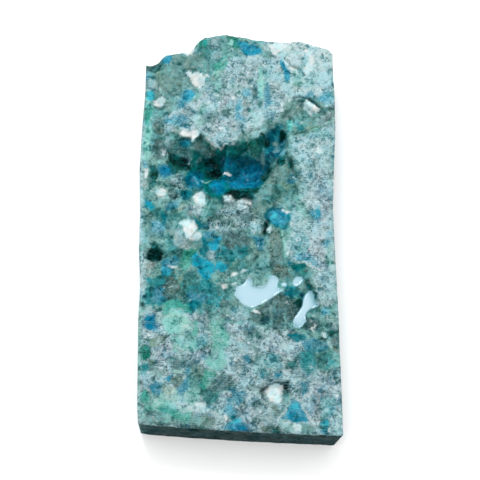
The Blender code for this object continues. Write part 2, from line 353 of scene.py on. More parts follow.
# Minerals painted over them, in order, each inside an outline in mm.
OUTLINES = (
    # far end, left to right
    ("slate_dark", ((-24.75, 44), (-24.5, 46.5), (-23.5, 48), (-21.5, 48), (-20.75, 46.75),
        (-22.5, 45.75), (-23.75, 44))),
    ("azure_pale", ((-25, 43.25), (-24, 44), (-23, 42), (-23.5, 40), (-25, 40))),
    ("milky", ((-23.5, 41.5), (-22, 42), (-20.5, 40), (-20, 38), (-21.5, 38), (-22.5, 38.5),
        (-24.5, 38), (-24.5, 39.5), (-24, 40.5))),
    ("celadon", ((-20, 46), (-19, 48), (-17.5, 49), (-14.5, 49), (-11.5, 49), (-9.5, 47.5),
        (-7.5, 46.5), (-7.5, 44.5), (-11, 44.5), (-14, 44), (-16.5, 44.5), (-19, 44.5))),
    ("celadon", ((-22, 43), (-20, 45), (-18, 44.5), (-15, 43.5), (-14, 41.5), (-14.5, 39.5),
        (-16, 37.5), (-18, 36), (-20, 37), (-20.5, 39), (-21.5, 41))),
    ("olive", ((-21.5, 46), (-20.5, 43.5), (-20, 41.5), (-20.5, 40.5), (-21, 42), (-22, 43.5))),
    ("azure", ((-20.5, 46.75), (-19.5, 48), (-17.5, 48.75), (-17.75, 47), (-18.75, 45.5))),
    ("chalk_and_glint", ((-14.5, 49.25), (-13, 50.75), (-11.75, 51), (-11, 50), (-12.25, 49.25),
        (-13.5, 48.5))),
    ("cyan", ((-24.5, 37.25), (-23.5, 38), (-22.25, 38), (-21.75, 36.5), (-22.5, 35.25),
        (-23.5, 35), (-24.25, 35.75))),
    ("chalk_and_glint", ((-22.25, 35), (-21, 35.75), (-20.25, 36.5), (-19, 36.25), (-19, 34.75),
        (-20.5, 33.5), (-21.75, 33.75))),
    ("brown", ((-19.5, 34.75), (-18, 35.25), (-17.25, 34), (-18.25, 32.5), (-19.5, 33.25))),
    ("chalk_and_glint", ((-14, 43), (-13, 44), (-12, 42.5), (-11.5, 43.5), (-10.5, 44), (-9, 42.5),
        (-8.5, 41), (-9, 39.5), (-10, 38.5), (-11.5, 39.5), (-12.5, 40.5), (-13, 42))),
    ("chalk_and_glint", ((-9.25, 43), (-8, 43.25), (-7.5, 42), (-8.75, 42))),
    ("azure", ((-15, 37.25), (-13.75, 38.5), (-12.25, 38), (-11.5, 36.75), (-12.25, 35),
        (-13.25, 34.5), (-14.5, 35.25))),
    ("emerald", ((-10.5, 52.25), (-9.5, 53.25), (-8.25, 53), (-8, 51.5), (-8.75, 50.25),
        (-10.25, 51))),
    ("slate", ((-7.75, 53), (-6.5, 54.25), (-5.25, 53.25), (-4.5, 51.5), (-5.25, 50), (-6.75, 50),
        (-7.75, 51.5))),
    ("milky", ((-6.75, 53), (-6, 53.5), (-5.25, 52.25), (-5.75, 51), (-6.75, 52))),
    ("milky", ((-7.25, 49), (-6.25, 49.75), (-4.5, 49.25), (-4.5, 47.75), (-5.75, 47), (-7, 47.75))),
    ("malachite", ((-6.75, 45.5), (-5.25, 47), (-3, 47.75), (-2.75, 45.5), (-4.25, 43.25),
        (-6, 43.75))),
    ("mint", ((-6.75, 43.75), (-5.25, 43.5), (-5.5, 42), (-6.75, 42.75))),
    ("emerald", ((-3.25, 54.25), (-1.5, 54.5), (0.5, 53.25), (1, 51.5), (-0.25, 50.25), (-2, 51),
        (-2.75, 52.5))),
    ("mint", ((-2.25, 53.25), (-1.25, 53), (-1.5, 51.25), (-2.5, 51.75))),
    ("azure", ((0, 52.5), (2, 52), (4.5, 51), (6, 50), (6.5, 48.5), (4, 48), (2, 48),
        (0.5, 50))),
    ("milky", ((6.25, 51), (7.5, 51.75), (8.25, 50.5), (8, 49.5), (7, 50))),
    ("celadon", ((6.5, 49.25), (8.25, 49.25), (9, 47.25), (7.5, 46.5), (6.25, 47.75))),
    # far right corner
    ("chalk_and_glint", ((8, 51), (10, 51.5), (14, 51.5), (12.5, 50), (10.5, 48.5), (9.5, 48), (9, 49))),
    ("pale", ((11, 48), (12.5, 50), (15.5, 50.5), (16.5, 48.5), (16, 46), (15, 45),
        (13, 46))),
    ("teal_pale", ((16.5, 47), (17.5, 47), (18, 45.5), (17.5, 44), (16.5, 42.5), (16, 44.5))),
    ("chalk_and_glint", ((11, 47), (12.5, 46.5), (14, 45), (15.5, 44), (16, 42), (14.5, 43.5), (12.5, 45))),
    ("chalk_and_glint", ((17.5, 49.5), (19.5, 50), (20, 47), (19.5, 43.5), (17.5, 42), (17, 44),
        (18.5, 46.5))),
    ("azure", ((10.5, 46.5), (11.5, 47), (12.5, 45), (13.5, 43.5), (14, 41.5), (13, 40), (12, 41),
        (11.5, 43.5))),
    ("mottle_white", ((8, 45), (10, 45.5), (11.5, 43.5), (11.5, 40.5), (10, 39), (8.5, 41.5))),
    ("teal_pale", ((6.5, 45), (8, 43.5), (8, 40), (8.5, 38), (8, 35.5), (7, 36))),
    ("mint_soft", ((5.5, 45), (6.5, 45.5), (7, 40), (6.5, 35.5), (5.5, 35.5), (5, 40))),
    ("azure_pale", ((6.25, 35.25), (9, 35.75), (9, 33.75), (7, 32.75))),
    ("slate", ((4, 40), (5, 39), (5, 35), (4, 36.5))),
    ("azure_pale", ((1, 38.25), (3.25, 38.25), (3.25, 36), (1.25, 36))),
    ("slate", ((2, 41), (3.75, 41), (4.25, 39.5), (2.25, 39.25))),
    ("azure_dim", ((18.25, 37.5), (19.5, 38), (20.25, 36.25), (19.25, 35.5), (17.75, 36))),
    ("azure_pale", ((21, 37), (24.5, 38), (25, 34.5), (23, 33.5), (21, 35))),
    # cracked step
    ("celadon", ((12, 32), (14, 34.5), (17, 35.5), (19, 33), (21, 32), (23, 32), (23.5, 30.5),
        (21.5, 29), (19, 27.5), (17, 27), (16, 24.5), (13.5, 24.5), (12, 27.5), (11, 29.5))),
    ("teal", ((15, 31), (16.5, 32), (18, 30.5), (18, 27), (15.5, 26), (14.5, 28.5))),
    ("slate_dark", ((15.25, 35), (17.25, 35.25), (17.5, 33.5), (15.5, 33.75))),
    # White chunk at the crack, painted bright as a glint.
    ("chalk_and_glint", ((17.25, 34.75), (18.5, 35), (20, 34), (21.25, 32.75), (21.25, 31.5), (20.25, 31.5),
        (19.5, 32), (18.75, 30.75), (18.25, 32.25), (17.25, 33))),
    # Painted mint highlight.
    ("mint_highlight", ((12.75, 30), (13.75, 29.75), (14.5, 27.75), (14, 26.5), (13.25, 27.25),
        (12.5, 28.5))),
    ("olive", ((17.5, 27.75), (19.5, 28.5), (21.5, 27.5), (20.25, 25.75), (17.5, 26))),
    ("milky", ((20.25, 30), (21.75, 30.5), (23.25, 31), (24, 30.25), (22.75, 28.5), (21.25, 27.5),
        (20.5, 28.5))),
    # facet under the plateau
    ("celadon", ((-0.75, 23), (0, 24.75), (1.5, 25.5), (3.5, 26.25), (3.25, 24.75),
        (2.25, 23.25), (0.75, 23))),
    ("celadon", ((3.5, 26), (6, 27.5), (7.5, 29.5), (9, 30), (9, 28.5), (7.5, 26), (5, 25))),
    ("teal_pale", ((2.5, 23.5), (3, 25), (4.75, 25.75), (6.5, 26.25), (5.75, 24.75), (3.5, 24))),
    # deep cavity, with painted shade in its darkest hollows
    ("emerald_deep", ((-6, 21.5), (-4.5, 22.5), (-1.5, 23), (2.5, 23), (5, 24), (7, 25.5), (7, 23.5),
        (8, 21), (8.5, 18.5), (7.5, 14), (5.5, 10), (3.5, 8), (0.5, 7), (-2.5, 8.5), (-4.5, 7),
        (-7.5, 7.5), (-9, 9.5), (-12.5, 10), (-14, 11.5), (-13.5, 14.5), (-12.5, 17.5), (-12, 21),
        (-10.5, 22), (-8.5, 21), (-6.5, 21))),
    ("deep_teal", ((-4, 19.5), (0, 20.5), (4, 21.5), (8, 20.5), (8.5, 17.5), (7.5, 14), (5, 10.5),
        (0, 9.5), (-4, 12.5), (-4.5, 16.5))),
    ("emerald_dark", ((1.5, 22.5), (3.5, 23.5), (6, 24.5), (6.5, 23.5), (5, 21.5), (3, 22.5))),
    ("emerald", ((3, 23.5), (5, 23.75), (5.25, 22.5), (4, 22.25), (3, 23))),
    ("emerald_black_and_shade", ((-18.5, 21.5), (-16, 22), (-13.5, 21), (-12.5, 19), (-12.5, 15.5),
        (-14.5, 15), (-16.5, 14), (-18, 15.5), (-18.5, 19.5))),
    ("hollow_shade", ((-14.5, 20.5), (-12.5, 20.5), (-12.5, 16.5), (-13.5, 15), (-15, 18))),
    ("hollow_shade", ((-8.5, 21), (-7, 21), (-5.5, 19.5), (-4.5, 17.5), (-4, 14.5), (-3, 13.5), (-5, 13),
        (-7, 15.5), (-8.5, 16.5), (-9, 19))),
    ("blue_deep", ((-5, 20.5), (-2.5, 20), (-0.5, 19.5), (-1, 17.5), (-3, 17.5), (-4.5, 18))),
    ("blue", ((0.5, 17.5), (2.5, 19), (5, 19), (6.5, 17), (5.5, 13.5), (4, 11.5), (2.5, 10),
        (1, 9.5), (-1, 10.5), (-2, 12), (-1.5, 14.5), (0, 15.5))),
    ("blue", ((-7.5, 11), (-6.5, 13), (-4, 13), (-3.5, 11), (-4, 9), (-5.5, 8.5), (-7, 10))),
    ("blue_deep", ((-14, 13), (-12, 15.5), (-10.5, 17), (-9, 16.5), (-9, 12.5), (-9.5, 10), (-11.5, 10),
        (-13, 10.5))),
    ("teal_deep", ((-15.25, 10), (-13.25, 10.25), (-12, 9.25), (-12.25, 7.5), (-13.5, 6.75),
        (-15, 8.25))),
    ("blue", ((-20.75, 16), (-19.5, 17), (-17.75, 16), (-17.5, 14), (-19, 13.25), (-20.5, 13.75))),
    ("hollow_shade", ((-3.5, 9), (-2, 10), (-0.5, 10), (0.5, 8.5), (2.5, 9), (3.5, 8.5), (3, 7),
        (0.5, 7), (-1.5, 7.5), (-3, 8.5))),
    ("hollow_shade", ((-9.25, 9.25), (-7.75, 8.25), (-6.25, 7.75), (-7, 7), (-9, 7.5))),
    ("teal_blue", ((8, 27), (9.5, 28), (11.5, 28), (12.5, 25.5), (12.5, 23.5), (11.5, 20.5),
        (10, 18.5), (8, 19.5), (7.5, 21.5), (7, 24.5), (7, 25.5))),
    ("navy", ((8.25, 21.75), (10.25, 22), (10.75, 19.25), (9.25, 18.75), (7.75, 20.25))),
    ("emerald_dark", ((11.25, 20), (12.5, 21), (12.5, 18.5), (10.75, 17.5), (10, 18.5))),
    ("cyan", ((9.25, 26.25), (10.5, 26.75), (11.25, 25.75), (10.75, 25), (9.75, 25))),
    # Painted glint in the cavity.
    ("chalk_and_glint", ((-3.9, 15.4), (-3.3, 15), (-2.4, 15.3), (-2.1, 16), (-2.6, 16.4), (-3.1, 16))),
    ("celadon", ((-11.5, 23.5), (-10.5, 25), (-9, 24.5), (-7.5, 22.5), (-6, 21.5), (-7, 21),
        (-9, 21.5), (-11, 22))),
    ("emerald_dark", ((-11, 24), (-10, 25.5), (-9.25, 24.75), (-9.25, 23.75), (-10.5, 23.5))),
    ("malachite", ((-9.25, 24.5), (-8, 23.5), (-6, 21.75), (-7, 22), (-8.5, 23.25))),
    ("grey_brown", ((-11.75, 23.25), (-10, 23.5), (-9.25, 22.25), (-11, 21.5), (-12, 22))),
    ("chalk_and_glint", ((-15, 25), (-14.5, 26.5), (-12.5, 26), (-11, 26.5), (-10.5, 27), (-10, 26),
        (-11, 24.5), (-11.5, 23.5), (-12.5, 24), (-14, 24.5))),
    ("teal_blue", ((-15.25, 23.75), (-14, 24.25), (-12.5, 23.75), (-12, 22.75), (-13, 22),
        (-14.5, 22.5))),
    ("milky", ((-18.5, 25), (-17.75, 24.75), (-17.5, 22.75), (-18.5, 22), (-19, 23.25))),
    ("brown", ((-22, 29.5), (-20, 30), (-19.5, 27.5), (-19.5, 25), (-21.5, 26), (-22.5, 28))),
    ("grey_dark", ((-22, 24.5), (-20, 24), (-19, 22), (-19, 19), (-21, 18), (-22.5, 21))),
    ("chalk_and_glint", ((-19.75, 21.5), (-19, 21.5), (-19.25, 20), (-20, 20.25))),
    ("emerald_dark", ((-23, 16.5), (-21.5, 17), (-20.5, 15), (-20.5, 13), (-22, 12), (-23, 13.5))),
    ("sea", ((-23.25, 12.25), (-21.5, 13), (-21, 10.75), (-22.25, 10), (-23.25, 11))),
    # white knobs below the cavity
    ("chalk_and_glint", ((-20.25, 10.25), (-19.5, 11), (-18.75, 10.25), (-18.5, 8.75), (-19.25, 7.5),
        (-20.25, 7.5))),
    ("grey_rough", ((-18, 11.5), (-17, 13.5), (-15, 15), (-14, 14), (-15, 11.5), (-14, 10.5),
        (-16, 10.5))),
    ("chalk_and_glint", ((-11.5, 8), (-10.75, 9.25), (-9.5, 9.25), (-8.5, 8.25), (-8.25, 6.75), (-9, 5.25),
        (-10, 5.25), (-11, 6.5))),
    ("violet", ((-13, 5.75), (-10.5, 5.75), (-8.75, 4), (-10, 2.5), (-12.5, 3.5))),
    ("ash", ((-4, 7), (-3, 8.5), (-2, 9), (-1, 7.5), (0.5, 7), (2.5, 8), (3.5, 6.5), (3, 4.5),
        (0.5, 5), (-0.5, 5.5), (-2, 4), (-3.5, 5.5))),
    ("grey_rough", ((-4.5, 5), (-1, 5), (3, 4), (6, 3), (5, 0), (0.5, -0.5), (-3.5, 0.5), (-6, 3))),
    ("chalk_and_glint", ((-0.5, 6.5), (0.5, 7.25), (2.25, 7.5), (3.25, 6.5), (2.25, 5.5), (0.5, 5.5))),
    ("hollow_shade", ((-3.25, 7), (-2.25, 7.25), (-2.25, 6.25), (-3, 6.25))),
    ("emerald_black_and_shade", ((-18.25, 10), (-16.5, 10.25), (-15.75, 8.75), (-17, 7.75), (-18, 8.5))),
    ("turquoise", ((-24.25, 7.5), (-23, 7), (-21.5, 5.25), (-22.5, 4.5), (-24, 5.25))),
    ("cream", ((-15, 5), (-14, 6.75), (-13, 6.25), (-13.75, 4.75), (-15, 3.75))),
    ("brown", ((-14.5, 5.5), (-13.75, 5.5), (-14, 4.75), (-14.5, 4.75))),
    ("azure_dim", ((-18.25, 6.5), (-16.25, 7), (-15, 5.5), (-16.75, 4.25), (-18.25, 4.5))),
    ("milky", ((-24.75, 12.25), (-24, 12.75), (-23.5, 10.75), (-24, 9.5), (-24.75, 10))),
    ("chalk_and_glint", ((-24.5, 15.75), (-23.25, 15.75), (-23.25, 13.5), (-24, 13.5))),
    ("azure_pale", ((-25, 18.5), (-24, 18), (-23.5, 16), (-24.75, 16.25))),
    ("celadon_dark", ((-8, 7), (-5.5, 6.5), (-5, 4), (-7, 2), (-8.5, 2.5))),
    ("teal_deep", ((-12.5, 3), (-10.75, 2.25), (-8.75, 1.25), (-8, 0), (-9.75, -0.75), (-11.75, 0.75))),
    # smooth slope right of the cavity
    ("celadon", ((13, 19), (14, 17), (13.5, 11), (12.5, 8.5), (10, 6), (7, 4), (4.5, 3), (3, 4),
        (4, 6.5), (6, 9.5), (8, 13.5), (8.5, 17), (10, 17.5))),
    ("celadon_dark", ((6, 8), (9, 9), (11.5, 8.5), (10, 6.5), (7, 5.5), (5.5, 6))),
    ("celadon_dark", ((8.25, 10.75), (10.75, 11.5), (12.5, 9.5), (9.75, 8.5))),
    ("celadon", ((11.5, 18.5), (13, 18), (12, 15), (10, 13.5), (9, 14.5), (10.5, 16.5))),
    ("azure_pale", ((13.5, 14), (14.75, 14), (14.5, 12.5), (13.25, 13))),
    # bright blue at its foot
    ("teal_deep", ((6.5, 3.5), (7.5, 5), (11.5, 5.5), (13.5, 3), (13.5, 1), (12.5, -0.5), (9.5, -0.5),
        (7, 1))),
    ("azure", ((7.5, 3.5), (9.5, 5), (11, 4.5), (12.5, 3), (13, 1), (11.5, 0), (9, 0.5), (8, 1.5))),
    ("cyan", ((8.75, 3.5), (10, 3.75), (10.25, 2.25), (9, 2))),
    ("chalk_and_glint", ((11.25, 4.75), (12.25, 4.5), (13.25, 3.75), (12.25, 3.25), (11.25, 4))),
    # big knob and left centre
    ("milky", ((-16.5, -1.5), (-15, -0.5), (-13.5, -3.5), (-11.5, -4), (-9.5, -3), (-9.5, -5),
        (-11, -6), (-13, -6.5), (-15, -6), (-16.5, -4.5))),
    ("chalk_and_glint", ((-15, 1), (-13, 2), (-11.5, 1.5), (-10.5, 0), (-11, -1.5), (-12, -3), (-13.5, -3.5),
        (-14, -2))),
    ("chalk_and_glint", ((-12.5, -3.75), (-10.75, -2), (-9.75, -1.5), (-9.25, -2.75), (-10.5, -3.75))),
    ("celadon_pale", ((-18, 0.75), (-16.5, 1.5), (-15.75, -0.5), (-16.25, -2.75), (-17.25, -2.75),
        (-17.75, -1))),
    ("celadon", ((-13, -4.5), (-9.75, -3.75), (-9.25, -5.75), (-11.75, -6.25))),
    ("emerald", ((-13.5, -6.5), (-10, -6), (-10.5, -8), (-12.5, -10), (-13.5, -12),
        (-14.5, -11.5), (-14.5, -9))),
    ("celadon", ((-24, 4), (-21.5, 3.5), (-19.5, 1), (-20, -1.5), (-22.5, -1.5), (-24, 1))),
    ("azure_pale", ((-22.25, 1.25), (-19.25, 1), (-18, -0.5), (-20.25, -2), (-22, -1))),
    ("teal_deep", ((-19.75, 4), (-18.25, 3.25), (-18, 0), (-19.5, 0.5))),
    ("emerald_black_and_shade", ((-24, -8.5), (-22.5, -6), (-21.5, -5), (-20, -5.5), (-19, -7), (-19, -9),
        (-21, -8.5), (-22.5, -8.5))),
    ("emerald_dark", ((-22.75, -4.5), (-21.25, -4), (-20, -5.5), (-21.75, -6))),
    ("pinkish", ((-24.5, -10), (-22, -8.5), (-20.5, -9.5), (-21, -11.5), (-22, -13.5),
        (-23.5, -13.5), (-24.5, -12))),
    ("hollow_shade", ((-21.75, -10.5), (-21.25, -9.25), (-20.5, -9.75), (-21.25, -11))),
    ("azure", ((-19.5, -9.5), (-18, -9), (-16, -8), (-15, -9), (-15.5, -10.5), (-17, -11),
        (-16.5, -12), (-17.5, -13.5), (-19, -13.5), (-19.5, -11.5))),
    ("cyan", ((-18.75, -12), (-17.5, -11.75), (-17.5, -13), (-18.75, -13))),
    # Painted glint.
    ("chalk_and_glint", ((-18, -10.75), (-17, -10.5), (-15.25, -11), (-16.75, -11.5))),
    ("turquoise", ((-12, -8.5), (-10.5, -7.5), (-9, -8.5), (-7.5, -9), (-6, -11), (-6, -12),
        (-7, -13), (-6.5, -14), (-8, -14.5), (-9, -14), (-10, -12.5), (-10.5, -11), (-12, -10))),
    ("cyan", ((-10, -9), (-8.25, -9.75), (-7.25, -11.5), (-8.25, -12.75), (-9.5, -11))),
    ("turquoise", ((-5.5, -10.25), (-3.5, -9.75), (-2.25, -11), (-3.25, -12.25), (-4.75, -12.25))),
    ("turquoise", ((-7.75, -6), (-6.75, -4), (-5.75, -2.5), (-4.5, -2.5), (-3.75, -3.25),
        (-4.75, -4.5), (-5.25, -6.25), (-6.75, -6.5))),
    ("azure_dim", ((-9.25, -1.25), (-6.25, -1.5), (-6.25, -3.25), (-8.75, -3.5))),
    ("violet", ((-7.75, -7), (-6, -7), (-6, -9), (-7.5, -8.75))),
    ("grey_dark", ((-4, -1.5), (0.5, -1), (3.5, -2.5), (3, -5.5), (-0.5, -6.5), (-4, -5.5))),
    # right centre
    ("azure_dim", ((3.25, -3), (5, -2.5), (6.5, -3.75), (6.75, -5.75), (5.25, -5.5), (4.25, -4))),
    ("cream", ((2.75, -4), (4, -4.5), (5, -6.25), (4.75, -7.25), (3.75, -6.25))),
    ("hollow_shade", ((3.75, -8.5), (5, -8), (5, -8.75), (4, -9))),
    ("emerald_dark", ((6.5, 1.5), (7.5, 1), (7.5, -2), (6.5, -3), (6, -1.5))),
    ("chalk_and_glint", ((7.5, -1.5), (8, -0.25), (8.75, -0.25), (8.5, -1.25))),
    ("grey_brown", ((8, -1), (10.5, -1), (11, -4), (11, -7.5), (11.5, -9.5), (10.5, -11), (9, -9),
        (8, -6.5), (7.5, -3))),
    ("brown", ((8, -8.5), (9.5, -9.5), (12, -11), (13, -13), (11, -14), (8.5, -13), (8, -11))),
    ("teal", ((-0.5, -5.5), (2, -5.5), (3, -7.75), (1, -9.25), (-0.5, -8))),
    ("teal_deep", ((12.5, -9.5), (13.5, -10), (15.5, -10), (17.5, -10.5), (17.5, -11.5), (16, -12),
        (14.5, -13), (13.5, -11.5), (12.5, -10.5))),
    ("azure_pale", ((13.5, -8.5), (15, -7.5), (17.5, -7.5), (19, -8.5), (20.5, -11.5), (18.5, -11),
        (17, -10), (15.5, -10))),
    ("azure", ((16.5, -8), (18, -8), (18.5, -9.5), (17, -9.5))),
    ("teal", ((12, -16), (13.5, -15.5), (14.5, -16.5), (16, -17), (17, -18.5), (15.5, -19.5),
        (13.5, -19.5), (12.5, -18))),
    ("navy", ((15, -17.75), (16.25, -17.5), (16.5, -18.75), (15.25, -19.25))),
    ("sea", ((16.5, -20.5), (15.5, -21.25), (16.75, -18.5), (18, -16.75), (19, -17.5),
        (18, -19))),
    ("slate_dark", ((18.75, -17.5), (19.75, -18), (21, -20.5), (20.25, -21.25), (19.25, -19.25))),
    ("hollow_shade", ((17, -14.5), (18.25, -15), (18, -16), (17.25, -15.75))),
    ("grey_dark", ((7.5, -20), (9.5, -18.5), (11.5, -18), (13, -19.5), (15.5, -21), (14.5, -24),
        (13, -26), (11.5, -25), (9.5, -21.5))),
    ("grey_dark", ((2.5, -23), (6, -22), (7, -24.5), (6, -27), (3, -25))),
    ("slate_dark", ((16.25, -24.75), (19, -24.25), (20.5, -26.25), (19.5, -27.75), (16.5, -27.75))),
    ("grey_dark", ((7, -22), (11.5, -21.5), (13, -26), (11.5, -28.5), (8.5, -28), (7, -25.5))),
    ("malachite", ((15.5, -11.5), (16.75, -11.75), (16.5, -13.5), (15.5, -13))),
    ("emerald_dark", ((-4.5, -20), (-3, -19.5), (-2.25, -21.5), (-3.5, -22.25), (-4.5, -21.5))),
    # around the lower pool
    ("teal_deep", ((12, -29), (14.5, -28.5), (17, -29.5), (16.5, -31), (13.5, -31))),
    ("azure_dim", ((15.5, -31), (18, -30), (21, -30.5), (22.5, -32), (21, -33.5), (18.5, -33.5),
        (16.5, -33))),
    ("teal", ((15, -33.5), (18, -33), (20, -34.5), (19.5, -38), (17.5, -39.5), (15.5, -37.5),
        (14.5, -35.5))),
    ("sea", ((19.5, -34.5), (22.5, -33.5), (23.5, -35.5), (22.5, -38.5), (20, -37.5))),
    ("emerald_dark", ((12, -37.75), (13.5, -36.25), (14.5, -34), (15.25, -34.25), (14.5, -37.5),
        (13.25, -38.25))),
    ("brown", ((23, -29.75), (24.75, -29.5), (24.75, -33.5), (23.5, -33))),
    ("emerald_dark", ((22, -28.5), (23.5, -28), (25, -28.25), (24, -29.5), (22.5, -29.5))),
    ("hollow_shade", ((20.5, -29.75), (21.75, -29.25), (22.25, -30), (21, -30.5))),
    ("chalk_and_glint", ((20.75, -28.5), (21.5, -28.25), (22.5, -29.5), (21.5, -29.5))),
    ("chalk_and_glint", ((18, -27.5), (19, -26), (19.5, -26.25), (18.5, -27.75))),
    ("chalk_and_glint", ((3.75, -22.25), (4.75, -22.5), (5.25, -23), (4.25, -23.25))),
    # lower sawn zone
    ("violet", ((6, -29.5), (8.5, -28.5), (10.5, -29), (12.5, -30.5), (14.5, -31.5), (15, -33),
        (13.5, -34), (12.5, -35), (10, -34), (8, -33), (5.5, -32))),
    ("mottle_white", ((8.5, -30.5), (11.5, -31), (14, -32), (13.5, -33.5), (11, -33), (9, -32))),
    ("slate", ((0.5, -27), (3.5, -26.5), (6, -28), (5, -31), (3, -32.5), (1.5, -30.5))),
    ("milky", ((-0.5, -31), (1.25, -31), (3, -32.5), (2.25, -33.75), (0, -33.5))),
    ("azure_dim", ((1, -34.5), (2.75, -34), (3.25, -36), (1.75, -36.75))),
    ("teal_pale", ((7, -34), (10, -34.5), (11.5, -37), (10, -38.5), (7.5, -37.5))),
    ("azure_dim", ((4.75, -38.75), (6.25, -38.25), (6.75, -40.5), (5.25, -40.75))),
    ("azure_dim", ((8, -38.25), (10.5, -38.75), (11.25, -40.25), (9, -40))),
    ("azure_dim", ((15.5, -41), (17.25, -41.25), (17.5, -43.75), (16, -44.75), (15.25, -43.25))),
    ("mint", ((-19, -25), (-16.5, -22.5), (-14.5, -22.5), (-13, -24), (-11.5, -25.5),
        (-11.5, -27.5), (-13.5, -28.5), (-15, -28.5), (-17, -29), (-18.5, -28))),
    ("malachite", ((-19, -24), (-19, -21), (-17, -20), (-14.5, -20), (-12.5, -21.5), (-12, -23.5),
        (-13.5, -24), (-14.5, -22.5), (-16.5, -22.5), (-18.5, -24.5))),
    ("malachite", ((-11.5, -25.5), (-10.5, -25), (-9.5, -27), (-10, -29), (-11.5, -30), (-13, -29),
        (-11.5, -27.5))),
    ("mint_soft", ((-16.5, -31), (-14, -28.5), (-12, -29), (-11.5, -31.5), (-13, -33.5),
        (-15.5, -33.5))),
    ("blue", ((-23.5, -25), (-23, -24), (-21, -23.5), (-20, -25.5), (-20, -27.5), (-21, -28.5),
        (-22.5, -28), (-23.5, -27))),
    ("milky", ((-23.25, -22), (-21.75, -21.75), (-21.5, -23.5), (-23, -23.5))),
    ("hollow_shade", ((-24.5, -20.75), (-23.5, -20.75), (-23.25, -21.75), (-24.5, -21.5))),
    ("olive", ((-22.5, -30.25), (-20, -30), (-20, -32), (-21.75, -32.75))),
    ("emerald", ((-24.5, -32.5), (-23, -32.5), (-21.75, -34), (-22, -35.5), (-23.5, -35.75),
        (-24.25, -34.75))),
    ("brown", ((-22.25, -35.5), (-20.75, -35.25), (-20.25, -36.75), (-20.75, -38.25),
        (-22, -38.25))),
    ("teal_pale", ((-24.75, -37.5), (-22.25, -37.25), (-22, -39.5), (-24.25, -39.75))),
    ("brown", ((-19.75, -29.25), (-18, -29.25), (-18, -31.25), (-19.25, -31.25))),
    ("teal_pale", ((-10.5, -29.75), (-8.5, -28.75), (-7, -29.75), (-7.5, -32), (-9.75, -32.5))),
    ("celadon_dark", ((-10, -22), (-7, -22), (-7, -28), (-9, -28))),
    ("malachite_soft", ((-7, -26.5), (-5, -25.5), (-3.5, -27.5), (-2, -29), (-2, -31.5),
        (-3.5, -33.5), (-2.5, -36), (-3.5, -38), (-5.5, -38.5), (-7.5, -37.5), (-8.5, -36),
        (-6.5, -34), (-6.5, -31))),
    ("jade", ((-6, -33.5), (-5, -33.5), (-5, -35.75), (-6, -35.75))),
    ("celadon_dark", ((-9, -43.5), (-7, -42), (-5.5, -40), (-4, -38.5), (-2.5, -39.5), (-0.5, -41),
        (-1, -42.5), (-3, -43.5), (-4.5, -44), (-4.5, -45.5), (-5.5, -47), (-7, -46.5),
        (-8.5, -45.5))),
    ("malachite", ((-9.5, -43), (-9, -40.5), (-8, -38), (-6, -38.5), (-5.5, -39.5), (-7, -41.5),
        (-8.5, -43.5))),
    ("azure", ((-18.25, -40.5), (-17.5, -39.5), (-16.25, -39.25), (-16.5, -40.75), (-17.25, -42))),
    ("azure_dim", ((-22, -42.25), (-20.5, -41), (-18.75, -41.75), (-18.5, -43.25),
        (-19.25, -44.75), (-21, -44.25))),
    ("azure_dim", ((-14, -39.5), (-12.5, -38.5), (-12, -40), (-12.5, -42.5), (-13.5, -44.5),
        (-15, -44), (-15, -42))),
    ("brown", ((-16.5, -40.25), (-15, -39.75), (-13.5, -40.5), (-14, -42.5), (-15.75, -42.75))),
    ("cream", ((-18.75, -42.75), (-17.5, -42.25), (-15.5, -42.75), (-15, -44), (-17.25, -44))),
    ("malachite", ((-24.5, -44), (-22.5, -43.5), (-21.25, -45), (-21.75, -46.5), (-23.25, -46.5),
        (-24.5, -45.5))),
    ("celadon", ((-23, -48.5), (-19.5, -48), (-17.5, -48.5), (-18, -51), (-20.5, -51.5),
        (-22.5, -51))),
    ("slate_dark", ((-22.25, -49.25), (-20.75, -49), (-20.5, -50.25), (-21.75, -50.5))),
    ("malachite", ((-19.5, -47), (-17, -47.5), (-14, -48.5), (-12, -49.5), (-13, -51), (-16, -50),
        (-18.5, -48.5))),
    ("mottle_white", ((-16, -46.5), (-13.5, -46), (-9.5, -47.5), (-6.5, -47), (-4, -48),
        (-3, -49.5), (-4, -51), (-6, -50), (-8, -49), (-10.5, -49), (-13, -48))),
    ("malachite", ((-12.75, -49), (-11.75, -49), (-11.5, -51.25), (-12.5, -51.25))),
    ("celadon", ((-11, -49.25), (-7.5, -49.5), (-7, -51.75), (-10.5, -52))),
    ("emerald_dark", ((-3, -50.75), (-1.25, -50.5), (-1.25, -51.5), (-2.5, -51.75))),
    # pit, with painted shade in its opening, and the blue wedge
    ("hollow_shade", ((5, -44), (5.5, -43), (7, -42), (8, -41.5), (9, -41), (10.5, -41), (12.5, -41),
        (13, -42), (12, -43), (13, -43), (13, -44.5), (11.5, -43.5), (11, -42.5), (9.5, -41.5),
        (8, -42), (7, -42.5), (6, -44))),
    ("ash", ((5, -44), (7.25, -42.5), (7.5, -45), (6, -46))),
    ("chalk_and_glint", ((6.7, -43.2), (7.7, -41.5), (9.3, -41.2), (10.7, -41.8), (11.1, -43.3), (10.7, -45.3),
        (9.7, -46.6), (8, -46.2), (6.9, -45))),
    ("grey_brown", ((8, -47), (9.75, -47), (10, -48.5), (8.75, -48.75))),
    ("celadon", ((11.25, -42.75), (12.75, -44), (12.5, -46.25), (11.25, -46.75))),
    ("celadon", ((8.5, -49), (10, -48.5), (11.5, -47), (11.5, -48.5), (9.75, -50.25))),
    ("azure", ((9.5, -52), (11.5, -49), (13, -45.5), (14, -45.5), (15, -46.5), (16, -48.5),
        (17.5, -51.5), (15, -51.5), (13, -52))),
    ("cyan", ((12.75, -46.75), (14.25, -46.75), (15, -48), (13.5, -48.5))),
